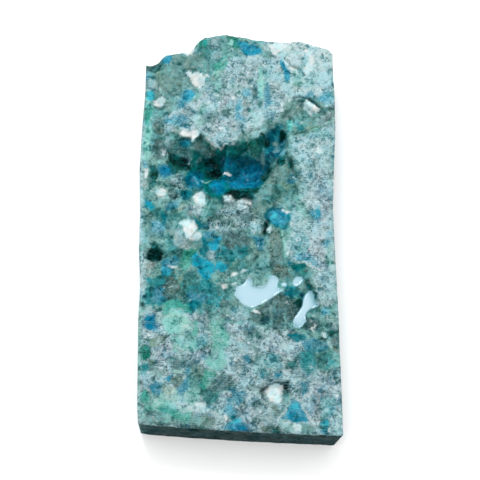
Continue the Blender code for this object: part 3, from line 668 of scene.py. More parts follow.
    ("azure", ((13.75, -48.75), (15.75, -48.75), (16.25, -50.25), (14.5, -50.5))),
    ("celadon_pale", ((10.75, -52), (12.75, -51.5), (14, -53), (12.5, -53.75), (11, -53.25))),
    ("celadon", ((13.5, -51.5), (16, -51.5), (18, -52.5), (18.5, -54), (16.5, -54), (14.5, -53))),
    ("teal_blue", ((20.25, -52.5), (21.25, -50.5), (22, -51.25), (22, -53.25), (21.25, -54.25),
        (20.25, -53.75))),
    ("azure_dim", ((-4, -52.5), (-2.5, -51), (-0.5, -50.5), (1, -51.5), (2, -52.5), (3, -54),
        (0.5, -54), (-2, -54))),
    ("navy", ((-0.5, -52.5), (1.75, -52), (3, -53.25), (2, -54), (0, -53.75))),
    ("emerald_dark", ((8.5, -52.75), (10.5, -52.75), (10.25, -54.25), (8.5, -54))),
    ("brown", ((5.25, -52.25), (8.25, -52), (8.25, -53.75), (5.75, -53.75))),
    ("milky", ((5, -50.25), (7.75, -49.75), (8.25, -51.75), (5.75, -52.25))),
)

# Small spots painted over the outlines: mineral, centre x, y, half-length, half-width in mm, and
# turn in degrees.
SPOTS = (
    # near edge; the first two are painted shade along the near rim, as on the near end
    ("slate_dark", -11.5, -52.2, 3.0, 0.6, -6),
    ("slate_dark", -19.5, -51.5, 4.5, 0.4, -4),
    ("chalk_and_glint", 14.4, -52.5, 1.1, 0.7, -20),
    ("milky", 11.0, -51.6, 2.2, 1.0, 0),
    ("chalk_and_glint", -9.0, -47.0, 1.4, 0.6, -20),
    # left side
    ("celadon_pale", -20.3, 9.3, 1.9, 2.2, 0),
    ("chalk_and_glint", -19.8, 9.3, 1.0, 1.1, 0),
    # cavity and ledge
    ("jade", 16.5, 30.2, 2.2, 1.8, 0),
    # Painted mint highlight.
    ("mint_highlight", 13.3, 28.2, 0.7, 1.8, 5),
    ("emerald_black_and_shade", 2.6, 9.6, 2.6, 1.1, -5),
    # bands across the far sawn zone
    ("slate", -3.6, 39.5, 0.9, 3.6, -6),
    ("slate", -7.5, 30.2, 2.4, 1.4, 0),
    ("slate_dark", -3.2, 31.3, 1.0, 1.2, 0),
    ("slate_dark", 4.5, 37.8, 0.8, 2.4, 0),
    ("ash", 2.1, 33.0, 1.0, 3.0, -6),
    ("mint_soft", -4.9, 40.0, 0.5, 4.6, -8),
    ("mint", 5.9, 38.7, 0.7, 4.6, 0),
    ("azure_dim", 7.6, 36.5, 0.9, 3.0, 0),
    ("azure_pale", 0.0, 32.8, 0.8, 2.2, -15),
    ("celadon_dark", 5.8, 34.1, 0.6, 1.1, 0),
    # shadows and crystals of the main cavity
    ("emerald", 4.0, 22.0, 1.8, 1.3, 10),
    ("emerald_black_and_shade", 6.5, 24.0, 1.8, 1.5, 15),
    ("emerald_black_and_shade", 11.5, 25.5, 0.9, 1.3, 0),
    ("azure_pale", 10.0, 22.0, 1.2, 0.8, 35),
    ("azure_pale", 11.5, 20.0, 1.0, 0.5, 60),
    ("celadon_pale", 6.5, 20.0, 0.6, 1.3, 10),
    ("celadon_pale", 10.0, 24.0, 0.8, 0.8, 0),
    ("emerald_black_and_shade", 11.0, 18.0, 1.4, 1.5, 0),
    ("emerald_dark", 7.5, 15.5, 1.2, 2.3, -25),
    ("hollow_shade", 0.0, 8.5, 3.0, 1.2, -8),
    ("quartz", 1.0, 5.5, 1.6, 0.9, 0),
    ("quartz", -2.5, 7.5, 1.4, 0.9, -15),
    ("emerald_black_and_shade", -21.5, 14.0, 1.0, 1.1, 0),
    ("slate_dark", -17.0, 9.0, 1.0, 1.1, 0),
    ("grey_brown", -20.5, 27.0, 1.3, 1.5, 0),
    # smooth slope
    ("emerald_dark", 13.5, 16.5, 0.7, 1.7, 12),
    ("celadon_dark", 15.0, 15.0, 1.3, 0.7, -25),
    ("azure_dim", 14.0, 12.5, 1.1, 0.9, 0),
    ("pale", 14.0, 13.0, 0.5, 0.3, 0),
    ("olive", 12.5, 11.0, 1.9, 0.8, -10),
    ("brown", 15.0, 10.5, 0.5, 0.9, 0),
    ("celadon_dark", 9.5, 9.5, 0.9, 1.9, -15),
    ("chalk_and_glint", 12.0, 4.0, 1.0, 0.4, -25),
    # Painted highlights in cyan at the foot of the slope.
    ("cyan", 9.0, 2.5, 0.8, 0.4, 40),
    ("cyan", 11.0, 0.0, 0.5, 0.4, 0),
    # middle
    ("grey_dark", 2.0, 2.5, 1.6, 1.3, 0),
    ("mottle_white", 4.5, 0.0, 1.6, 1.6, 0),
    ("hollow_shade", 7.0, 0.0, 0.6, 2.1, -18),
    ("chalk_and_glint", 8.0, -1.0, 0.5, 0.9, -20),
    ("azure_dim", 5.5, -5.0, 1.2, 1.7, 0),
    ("cream", 4.0, -5.5, 1.6, 0.5, -50),
    ("emerald_black_and_shade", 4.5, -8.5, 0.6, 0.35, 20),
    ("grey_brown", 9.5, -5.5, 1.4, 4.5, 5),
    ("turquoise", -8.5, -10.5, 2.8, 1.4, -32),
    ("turquoise", -4.0, -11.0, 1.7, 1.0, 0),
    ("malachite", -13.0, -10.0, 1.1, 2.1, -15),
    ("azure_dim", -17.0, -10.0, 1.5, 1.2, 30),
    # Painted glint.
    ("chalk_and_glint", -16.5, -11.0, 1.3, 0.35, -5),
    ("brown", -16.5, -16.0, 1.5, 2.1, 0),
    ("olive", -14.5, -14.0, 0.6, 1.4, -20),
    ("chalk_and_glint", -1.0, -13.0, 1.0, 0.55, 15),
    # Painted glints.
    ("chalk_and_glint", -3.5, -16.0, 0.6, 0.5, 30),
    ("chalk_and_glint", -1.0, -15.5, 0.7, 0.25, 20),
    ("chalk_and_glint", 1.5, -12.0, 1.0, 0.3, 15),
    ("slate_dark", -3.5, -21.0, 1.0, 1.3, 0),
    ("slate", -8.5, -25.5, 1.4, 2.3, 0),
    # around the pools
    ("chalk_and_glint", 4.5, -23.0, 1.1, 0.45, -15),
    ("mottle_white", 1.0, -23.5, 1.5, 0.4, -20),
    ("emerald_deep", 15.0, -11.0, 2.0, 1.3, 0),
    ("teal_deep", 13.5, -17.5, 1.8, 1.4, 0),
    ("emerald_black_and_shade", 18.5, -17.5, 2.6, 0.8, -58),
    ("emerald_black_and_shade", 15.5, -20.5, 1.3, 1.1, 0),
    ("grey_dark", 13.5, -23.0, 1.5, 1.6, 0),
    ("grey_dark", 8.5, -21.5, 3.0, 1.5, 10),
    ("grey_dark", 6.0, -25.0, 2.2, 1.4, 0),
    ("grey_dark", 17.0, -26.0, 2.0, 1.4, 20),
    ("chalk_and_glint", 18.5, -27.0, 1.0, 0.35, 50),
    ("emerald_black_and_shade", 21.0, -29.5, 0.9, 0.5, 0),
    ("chalk_and_glint", 21.5, -29.0, 0.9, 0.45, -30),
    ("emerald_black_and_shade", 23.0, -28.5, 1.1, 0.9, -15),
    ("azure_pale", 23.0, -2.5, 1.0, 0.9, 0),
    ("azure_pale", 22.5, -5.0, 0.7, 1.5, 0),
    ("azure_pale", 17.0, -8.5, 2.0, 1.0, -20),
    ("azure", 17.0, -9.0, 0.8, 0.6, 0),
    # near end
    ("emerald", -23.0, -33.0, 1.1, 1.2, 0),
    ("teal", -23.0, -37.5, 1.0, 1.0, 0),
    ("slate_dark", -15.0, -36.5, 0.8, 1.0, 0),
    ("cream", -15.0, -38.5, 1.2, 0.5, 0),
    ("brown", -14.5, -40.5, 1.2, 1.3, 0),
    ("azure_dim", -12.5, -40.5, 0.9, 2.5, 0),
    ("slate_dark", -4.5, -41.5, 3.8, 1.9, 22),
    ("malachite", -8.0, -41.0, 2.5, 1.0, 50),
    ("emerald_deep", 13.0, -36.5, 1.2, 0.6, 35),
    ("azure_dim", 19.5, -32.0, 1.8, 1.0, 0),
    ("celadon_dark", 20.5, -35.5, 1.5, 1.9, 0),
    ("teal", 23.0, -36.0, 0.9, 0.7, 0),
    ("mottle_white", -6.5, -48.0, 3.2, 0.8, -15),
    ("azure_pale", -2.0, -47.5, 1.0, 1.0, 0),
    ("teal_deep", -1.0, -50.0, 1.2, 0.5, 0),
    ("chalk_and_glint", -3.0, -50.0, 0.4, 0.8, 0),
    ("cyan", -0.5, -51.0, 1.4, 0.5, 15),
    ("blue", 1.0, -52.5, 2.2, 0.6, 0),
    ("cyan", 21.0, -51.5, 1.0, 0.8, 0),
    ("emerald_dark", 20.5, -52.5, 1.0, 0.35, 0),
    ("emerald_dark", 9.5, -52.5, 1.0, 0.5, 0),
    ("ash", 6.0, -51.5, 2.0, 0.7, 0),
)

# Thin seams, rims, painted glints of light and a painted ledge shadow, painted last: mineral, width, and the
# path it follows, in mm.
LINES = (
    ("mottle_white", 1.1, ((-25.2, 34), (-25.3, 24), (-25.2, 12), (-24.9, 4), (-24.7, -4))),
    ("mottle_white", 1.8, ((-24.4, -8), (-24.3, -13), (-24.4, -18))),
    ("mint_soft", 1.0, ((-24.7, -22), (-24.7, -34), (-24.6, -44))),
    ("mottle_white", 0.9, ((-24.6, -44), (-24.5, -50), (-24.3, -53.5))),
    ("milky", 0.8, ((24.9, 30), (24.3, 20), (24.0, 10), (24.1, 0), (24.4, -10), (25.0, -22))),
    ("emerald_dark", 0.30, ((14.25, 35.5), (15, 36), (16, 36.25), (17.5, 35.5), (18.75, 35.5),
        (20, 34.5), (21.25, 33), (22.5, 32.25), (23.5, 32), (24.75, 32.5))),
    ("emerald_dark", 0.35, ((8.75, 48), (10, 47.25), (11.25, 47.25))),
    ("grey_brown", 0.30, ((13.5, 44.75), (14.5, 44.5), (15.75, 44))),
    ("celadon_dark", 0.33, ((16.75, 25.75), (19, 26), (20.5, 26.25), (22.25, 27.25), (24.5, 28.5))),
    # Painted shadow under the plateau's ledge.
    ("emerald_dark", 0.38, ((-16.25, 23.75), (-14.75, 24.25), (-14, 24.25), (-12.5, 24))),
    ("chalk_and_glint", 0.35, ((-8.25, 24.25), (-7, 22.75), (-5.75, 21.75))),
    ("chalk_and_glint", 0.30, ((-5.5, 21.5), (-3.75, 22.25), (-1.25, 23))),
    ("mint_soft", 0.30, ((-17.75, 22.25), (-16, 21.75), (-13.75, 20.75))),
    ("milky", 0.25, ((-13.25, 22), (-13, 20.5), (-13, 17.75))),
    ("mint", 0.25, ((-9.25, 12.75), (-8.25, 12), (-7, 13.75))),
    ("mint", 0.25, ((2.75, 22.25), (3, 21.5))),
    ("milky", 0.20, ((1, 21), (2, 21.5))),
    ("milky", 0.20, ((4, 21.25), (5.25, 20.25))),
    ("azure_pale", 0.35, ((9.75, 23), (10.75, 23.75), (12, 24))),
    ("azure_pale", 0.35, ((11, 20), (11.75, 21.25), (12.25, 21.25))),
    ("azure_pale", 0.30, ((6.5, 22), (7, 20.75))),
    ("azure_pale", 0.25, ((-11.5, 13.75), (-11, 12.25), (-10.25, 11.5))),
    ("milky", 0.20, ((-10.75, 19.25), (-9.75, 20.25))),
    ("cream", 0.35, ((-24.5, 4.75), (-23, 3.75), (-22, 3))),
    ("mint", 0.30, ((-6.75, 6.75), (-7.75, 4.75), (-8.5, 2.5), (-9.25, 1))),
    ("mint", 0.33, ((11.25, -1), (11.5, -3.75), (12, -6.5), (12, -8.5))),
    ("emerald", 0.25, ((10.75, -1.25), (11, -4.5), (11.5, -7.25))),
    ("mint_soft", 0.30, ((12.5, -9), (13.5, -8.25), (15, -7.25), (17.25, -7))),
    ("chalk_and_glint", 0.30, ((14.75, -10), (17, -10), (18.75, -11.25), (20.5, -12))),
    ("milky", 0.35, ((-5.25, -15.5), (-3.25, -15.75))),
    ("mint_soft", 0.25, ((8, -21.25), (8.25, -23.75), (8, -27))),
    ("mint_soft", 0.25, ((11.5, -22.25), (11.75, -24.75), (11.75, -28))),
    ("mint_soft", 0.30, ((22.25, -29), (22.75, -31.5), (23.75, -33.75), (24.75, -35))),
    ("mint", 0.46, ((-21, -44.25), (-20.25, -46.5), (-18, -46.5), (-15.25, -47), (-13, -48),
        (-11.5, -48.75))),
    ("mint", 0.25, ((-20, -46.5), (-19.5, -47.75))),
    ("emerald_dark", 0.30, ((-24.5, -33.75), (-23.25, -33.5), (-22.25, -33.5))),
    ("mint_soft", 0.25, ((-13, -38.75), (-12, -40.5), (-12, -42.75))),
    ("mint_soft", 0.30, ((-7.25, -41.75), (-5.75, -40), (-4.5, -38.75))),
    ("chalk_and_glint", 0.23, ((15.5, -47), (16.5, -49), (17.5, -50.5), (18.25, -51))),
    ("chalk_and_glint", 0.23, ((11.25, -48.5), (10, -50.25), (9.25, -52.25))),
    ("chalk_and_glint", 0.23, ((11, -51.5), (13, -51.5), (16.25, -51.25), (19.75, -51.25))),
    ("chalk_and_glint", 0.41, ((14, -52.75), (15.25, -53.5))),
    ("milky", 0.30, ((5, -43.75), (5.25, -42.5), (6, -41.25), (7.5, -41))),
    ("milky", 0.30, ((4.5, -44), (5, -45.5), (6.25, -46.25), (7.25, -47))),
    ("mint", 0.25, ((15, 6), (16, 2.75), (16.5, -0.75))),
    ("mint_soft", 0.30, ((16.75, 4.5), (17.25, 2.25))),
    ("mint_soft", 0.25, ((22.75, -6.25), (23, -8.5))),
    ("milky", 0.25, ((20, -4.75), (22, -4.25))),
    ("slate", 0.25, ((20, 49), (21, 47.25))),
    ("slate", 0.30, ((20.75, 45.5), (21, 44))),
    ("milky", 0.25, ((-14.5, 39.5), (-13.25, 38.75))),
    ("emerald_dark", 0.38, ((-14.25, 44.25), (-13, 44.5), (-11.25, 44.5), (-10.25, 44.5))),
    ("slate_dark", 0.41, ((-22.25, 38.25), (-21, 37.75), (-20.25, 36.5))),
)

# Minerals of the walls and the back, drawn at random: how often each, and its half-size in mm.
HIDDEN_COUNT = 150
HIDDEN_SEED = 41
HIDDEN_SIZE = (1.2, 6.0)
HIDDEN_MINERALS = (
    "teal", "slate", "malachite", "blue", "azure", "lavender", "brown", "sea", "quartz",
    "mint", "jade", "grey_brown", "slate_dark", "teal_pale", "turquoise",
)
# The near end's wall is painted darker: partly its own slate, partly painted shade.
END_SHADE = "end_slate_and_shade"

# The broken far end stands in below its rim, and the lower near right corner is knocked off.
BROKEN_FROM = 41.0
BROKEN_RUN = 6.0
BROKEN_IN = 1.8
CHIP_FROM = (20.5, 49.5)
CHIP_RUN = 4.5
CHIP_IN = 1.7

# Share of a mineral's colour under full light that is its own colour.
ALBEDO = 0.53

# How far the minerals' borders are bent and swayed, the sizes of the waves that do it, how fast
# an outline closes in down a wall, and how far the near end's dark paint, partly painted shade, reaches, in
# mm.
WARP = 0.35
WARP_SIZE = 2.0
OUTLINE_SWAY = 0.7
SLOW_SIZE = 3.2
QUICK_SIZE = 1.1
WALL_FADE = 0.7
END_REACH = 3.2

# Grains that the minerals' borders run round, in mm.
GRAIN_SIZE = 0.55
CLAST_SIZE = 1.4

# Fine relief, in mm.
POINT_SIZE = 1.5
POINT_RISE = 1.0
LUMP_SIZE = 2.4
LUMP_RISE = 0.7
OPEN_ROUGH = 0.30
ROUGH_SIZE = 2.4
LEDGE_SWAY = 0.8
LEDGE_SWAY_SIZE = 3.0
VOID_DEPTH = 0.25
VOID_SIZE = 0.9
RIM_ROUND = 0.2
RIM_NIBBLE = 0.5
NIBBLE_SIZE = 1.6
WALL_ROUGH = 0.12
WALL_ROUGH_SIZE = 2.6
BROKEN_ROUGH = 0.9
FOOT_ROUND = 0.25
SHARP_FROM = 0.45

# Painted shade and painted highlight: what a mineral's colour is multiplied by in the deepest
# crevices, where shade falls, and how much paler it is painted on the sharpest tips.
CREVICE_SHADE = (0.34, 0.62, 0.65)
WHITE_SHADE = (0.78, 0.82, 0.83)
PAINTED_TIP_HIGHLIGHT = 0.25

# The skin's mesh: columns and rows of the show face, both one more than a multiple of
# BACK_STEP, the stations inside its rim in mm, and the levels that the walls step down through.
COLUMNS = 177
ROWS = 381
RIM_STATIONS = (0.0, 0.12, 0.3)
WALL_LEVELS = (0.985, 0.95, 0.89, 0.81, 0.73, 0.65, 0.56, 0.47, 0.38, 0.29, 0.20, 0.11, 0.045, 0.015, 0.0)
BACK_STEP = 4
BACK_COLUMNS = (COLUMNS - 1) // BACK_STEP + 1
BACK_ROWS = (ROWS - 1) // BACK_STEP + 1
BACK_INSET = 0.6

# The flat map of the skin: its size, how many of its units a millimetre takes, and the lower left
# corner of each part. The walls are the near, right, far and left ones.
FLAT_MAP = "OFBake"
FLAT_SIZE = 1024.0
SHOW_SCALE = 9.2
HIDDEN_SCALE = 6.6
SHOW_CORNER = (4.0, 4.0)
BACK_CORNER = (482.0, 4.0)
WALL_CORNERS = ((482.0, 734.0), (830.0, 4.0), (482.0, 824.0), (922.0, 4.0))

# Stage, in metres.
FLOOR_HALF = 2.0
KEY_PLACE = (-0.06, 0.30, 0.36)
KEY_SIZE = (0.22, 0.22)
KEY_COLOUR = (0.93, 0.97, 1.0)
CAMERA_AIM = (0.00045, -0.0041, 0.012)


# ------------------------------------------------------------------ repeatable noise
# One seed for each noise, so that no two are alike.
WARP_SEEDS = (11, 57)
POINT_SEEDS = (201, 231)
LUMP_SEEDS = (261, 291)
ROUGH_SEED = 321
VOID_SEED = 351
NIBBLE_SEED = 401
WALL_SEED = 431
LEDGE_SEEDS = (471, 491)
SLOW_SEEDS = (501, 531)
QUICK_SEEDS = (561, 591)
GRAIN_SEED = 621
CLAST_SEED = 651
CELL_PRIMES = np.array((73856093, 19349663, 83492791), np.uint64)
SEED_FACTOR = 9781
SEED_START = 17
MIX_FACTOR = np.uint64(0x45D9F3B)
LOW_BITS = np.uint64(0xFFFFFFFF)
HALF_WORD = np.uint64(16)

# A cell's centre keeps this share of the cell's width away from its sides.
CELL_MARGIN = 0.12


def hashed(cells, salt):
    """A repeatable number from 0 to 1 for each whole-number cell: its coordinates times large
    primes, summed, then twice shifted against itself and multiplied."""
    primes = CELL_PRIMES[:cells.shape[-1]]
    key = (cells.astype(np.uint64) * primes).sum(-1) + np.uint64(salt * SEED_FACTOR + SEED_START)
    for _ in range(2):
        key = ((key ^ (key >> HALF_WORD)) * MIX_FACTOR) & LOW_BITS
    return (key ^ (key >> HALF_WORD)) / float(LOW_BITS)


def noise(places, size, salt):
    """Gradient noise, about -1 to 1: at each corner of a lattice of the given size stands a
    random slope, and a point blends its eight corners' slopes with a quintic fade."""
    scaled = places / size
    home = np.floor(scaled).astype(np.int64)
    part = scaled - home
    fade = part * part * part * (part * (part * 6.0 - 15.0) + 10.0)
    total = np.zeros(len(places))
    for corner in np.ndindex(2, 2, 2):
        cells = home + np.array(corner)
        slopes = np.stack([hashed(cells, salt + axis) for axis in range(3)], -1) * 2.0 - 1.0
        weight = np.prod(np.where(corner, fade, 1.0 - fade), axis=-1)
        total += weight * ((part - corner) * slopes).sum(-1)
    return total * 1.5


def fractal(places, size, octaves, salt):
    """Noise at a size, plus half as much at half the size, and so on."""
    total = np.zeros(len(places))
    for octave in range(octaves):
        share = 0.5 ** octave
        total += share * noise(places, size * share, salt + 7 * octave)
    return total


def around(places, size, salt):
    """For every cell that touches each point's own, the point's offset from the cell's
    jittered centre, in cell widths, and the cell. Works on two or three coordinates."""
    scaled = places / size
    axes = places.shape[-1]
    home = np.floor(scaled).astype(np.int64)
    for step in np.ndindex((3,) * axes):
        cells = home + np.array(step) - 1
        jitter = np.stack([hashed(cells, salt + axis) for axis in range(axes)], -1)
        yield scaled - cells - CELL_MARGIN - (1.0 - 2.0 * CELL_MARGIN) * jitter, cells


def mosaic(places, size, salt):
    """One random number from -1 to 1 for each grain: that of the cell whose centre is nearest."""
    nearest = np.full(len(places), np.inf)
    value = np.zeros(len(places))
    for offset, cells in around(places, size, salt):
        away = (offset ** 2).sum(-1)
        closer = away < nearest
        nearest = np.where(closer, away, nearest)
        value = np.where(closer, hashed(cells, salt + 5), value)
    return 2.0 * value - 1.0


def lumps(x, y, size, salt):
    """Rounded lumps: the tallest of nine domes, each one less the squared distance from its
    centre over its own squared radius."""
    height = np.zeros(x.shape)
    for offset, cells in around(np.stack([x, y], -1), size, salt):
        radius = 0.5 + 0.4 * hashed(cells, salt + 2)
        dome = 1.0 - (offset ** 2).sum(-1) / radius ** 2
        height = np.maximum(height, dome * (0.6 + 0.4 * hashed(cells, salt + 3)))
    return height


def points(x, y, size, salt):
    """Crystal points: the tallest of nine six-sided pyramids, each turned and leaned at random.
    A pyramid falls away by its hexagonal distance, the largest of three crossed distances."""
    height = np.full(x.shape, -1.0)
    for offset, cells in around(np.stack([x, y], -1), size, salt):
        turn = hashed(cells, salt + 2) * math.pi / 3.0
        across = np.cos(turn) * offset[..., 0] + np.sin(turn) * offset[..., 1]
        along = np.cos(turn) * offset[..., 1] - np.sin(turn) * offset[..., 0]
        hexagon = np.maximum(
            np.abs(across), np.abs(0.5 * across + 0.866 * along))
        hexagon = np.maximum(hexagon, np.abs(0.5 * across - 0.866 * along))
        lean = (hashed(cells, salt + 3) - 0.5) * across + (hashed(cells, salt + 4) - 0.5) * along
        top = 0.45 + 0.55 * hashed(cells, salt + 5)
        height = np.maximum(height, top + 0.9 * lean - 1.5 * hexagon)
    return np.clip(height, -0.4, 1.0)


# ------------------------------------------------------------------ the slab's plan and depth
def smooth(t):
    """Zero below 0, one above 1, and an S-curve between."""
    t = np.clip(t, 0.0, 1.0)
    return t * t * (3.0 - 2.0 * t)


def beside(x, y, path):
    """Distance from each point to the nearest of a path's straight stretches."""
    nearest = np.full(x.shape, np.inf)
    for (ax, ay), (bx, by) in zip(path, path[1:]):
        ex, ey = bx - ax, by - ay
        along = np.clip(((x - ax) * ex + (y - ay) * ey) / (ex * ex + ey * ey), 0.0, 1.0)
        nearest = np.minimum(nearest, np.hypot(x - ax - along * ex, y - ay - along * ey))
    return nearest


def inside(x, y, outline):
    """Distance from each point to a closed outline, positive inside it and negative outside."""
    closed = outline + outline[:1]
    odd = np.zeros(x.shape, bool)
    for (ax, ay), (bx, by) in zip(closed, closed[1:]):
        crosses = (ay > y) != (by > y)
        rise = by - ay if by != ay else 1.0
        odd ^= crosses & (x < ax + (y - ay) * (bx - ax) / rise)
    away = beside(x, y, closed)
    return np.where(odd, away, -away)


def ellipse(x, y, cx, cy, half_length, half_width, turn):
    """Distance from the middle of a turned ellipse, as a share of the way to its edge."""
    c, s = math.cos(math.radians(turn)), math.sin(math.radians(turn))
    along = (c * (x - cx) + s * (y - cy)) / half_length
    across = (c * (y - cy) - s * (x - cx)) / half_width
    return np.hypot(along, across)


def bowl(x, y, place):
    """A round-bottomed dish: full depth at the middle and none at the ellipse's edge."""
    return place[5] * smooth(1.35 * (1.0 - ellipse(x, y, *place[:5])))


def ripple(x, y):
    """Slow unevenness between -1 and 1, from four crossed waves of unlike length."""
    a, b = x / OPEN_GRAIN, y / OPEN_GRAIN
    waves = np.sin(2.1 * a + 1.3 * b) + np.sin(3.7 * b - 1.9 * a + 1.0)
    waves += np.sin(5.3 * a + 0.7 * b + 2.0) + np.sin(1.1 * a - 6.1 * b + 4.0)
    return waves / 4.0


def sawn_reach(x, y):
    """Distance into the nearest sawn zone, negative on open ground."""
    reach = np.full(x.shape, -np.inf)
    for outline in SAWN_ZONES:
        reach = np.maximum(reach, inside(x, y, outline))
    return reach


def pool_reach(x, y):
    """Distance into the nearest glassy pool, negative outside them all."""
    reach = np.full(x.shape, -np.inf)
    for outline in POOL_OUTLINES:
        reach = np.maximum(reach, inside(x, y, outline))
    return reach


def ledge_run(x, y):
    """Width of the slope between the saw's level and the open ground: narrow at the ledges."""
    sharp = np.zeros(x.shape)
    for place in SHARP_LEDGES:
        sharp = np.maximum(sharp, smooth(2.0 - 1.4 * ellipse(x, y, *place)))
    return LEDGE_RUN * (1.0 - SHARPNESS * sharp)


def depth(x, y, sawn):
    """How far the show face lies below the saw's level, before its fine relief."""
    ground = np.zeros(x.shape)
    for place in HOLLOWS:
        ground = np.maximum(ground, bowl(x, y, place))
    ground += OPEN_DEPTH + OPEN_ROUGHNESS * ripple(x, y)
    ground = np.maximum(ground, 0.0) * smooth(-sawn / ledge_run(x, y))
    for place in PITS:
        ground = np.maximum(ground, bowl(x, y, place))
    for place in KNOBS:
        ground -= bowl(x, y, place)
    ground = np.maximum(ground, 0.0)
    for width, fall, path in CRACKS:
        ground += fall * smooth(1.0 - beside(x, y, path) / width)
    return ground


def plan(u, v):
    """The place in the slab's plan, in mm, of fractions u across and v along."""
    level = (2.0 * v - 1.0) * HALF_LENGTH
    left = np.interp(level, LEFT_EDGE_Y, LEFT_EDGE_IN) - HALF_WIDTH
    right = HALF_WIDTH - np.interp(level, RIGHT_EDGE_Y, RIGHT_EDGE_IN)
    x = left + (right - left) * u
    near = np.interp(x, NEAR_EDGE_X, NEAR_EDGE_IN) - HALF_LENGTH
    far = HALF_LENGTH - np.interp(x, FAR_EDGE_X, FAR_EDGE_IN)
    return x, near + (far - near) * v


def broken(x, y, level):
    """How far back from its rim the far end stands, at a share of the slab's thickness."""
    wave = 0.6 + 0.4 * np.sin(0.55 * x + 7.0 * level)
    return BROKEN_IN * (1.0 - level) * wave * smooth((y - BROKEN_FROM) / BROKEN_RUN)


def chipped(x, y, level):
    """How far in from its rim the near right corner stands, at a share of the thickness."""
    corner = smooth((x - CHIP_FROM[0]) / CHIP_RUN) * smooth((-y - CHIP_FROM[1]) / CHIP_RUN)
    return CHIP_IN * (1.0 - level) * corner


# ------------------------------------------------------------------ minerals
def linear(code):
    """A six-digit screen colour as linear red, green and blue."""
    screen = np.array([int(code[i:i + 2], 16) for i in (0, 2, 4)]) / 255.0
    return ALBEDO * np.where(screen <= 0.04045, screen / 12.92, ((screen + 0.055) / 1.055) ** 2.4)


def traits(mineral, saw=0.0):
    """A mineral as one row of numbers: linear colour, then FIELDS."""
    code, gloss, grain, veins, crystal, lump, _ = MINERALS[mineral]
    return np.concatenate((linear(code), (gloss, grain, veins, crystal, lump, saw)))


def lay(paint, spots, mineral, reach, share=1.0, saw=None):
    """Lays a mineral over the paint of some spots where reach, in mm inside its border, is
    above zero."""
    mask = (smooth(0.5 + reach / MINERALS[mineral][6]) * share)[:, None]
    row = traits(mineral)
    rows = paint[spots]
    if saw is None:
        rows[:, :-1] += mask * (row[:-1] - rows[:, :-1])
    else:
        row[-1] = saw
        rows += mask * (row - rows)
    paint[spots] = rows


def within(x, y, outline, margin):
    """The points in an outline's bounding box grown by a margin."""
    low, high = np.min(outline, 0) - margin, np.max(outline, 0) + margin
    return np.flatnonzero((x > low[0]) & (x < high[0]) & (y > low[1]) & (y < high[1]))


class Borders:
    """Unevenness of the minerals' borders at every point: two slow waves, two quick ones, and
    two mosaics of grains, so that a border runs round whole grains."""

    def __init__(self, places):
        self.slow = [fractal(places, SLOW_SIZE, 3, seed) for seed in SLOW_SEEDS]
        self.quick = [fractal(places, QUICK_SIZE, 3, seed) for seed in QUICK_SEEDS]
        self.grains = mosaic(places, GRAIN_SIZE, GRAIN_SEED)
        self.clasts = mosaic(places, CLAST_SIZE, CLAST_SEED)

    def shift(self, spots, half, number):
        """How far out the border of the numbered patch, of a given half-size, moves."""
        turn = 2.4 * number
        slow = math.cos(turn) * self.slow[0][spots] + math.sin(turn) * self.slow[1][spots]
        quick = math.cos(turn) * self.quick[0][spots] + math.sin(turn) * self.quick[1][spots]
        room = min(half, 2.5)
        waves = 0.45 * slow + 0.30 * quick + 0.22 * self.clasts[spots]
        return room * waves + 0.16 * self.grains[spots]


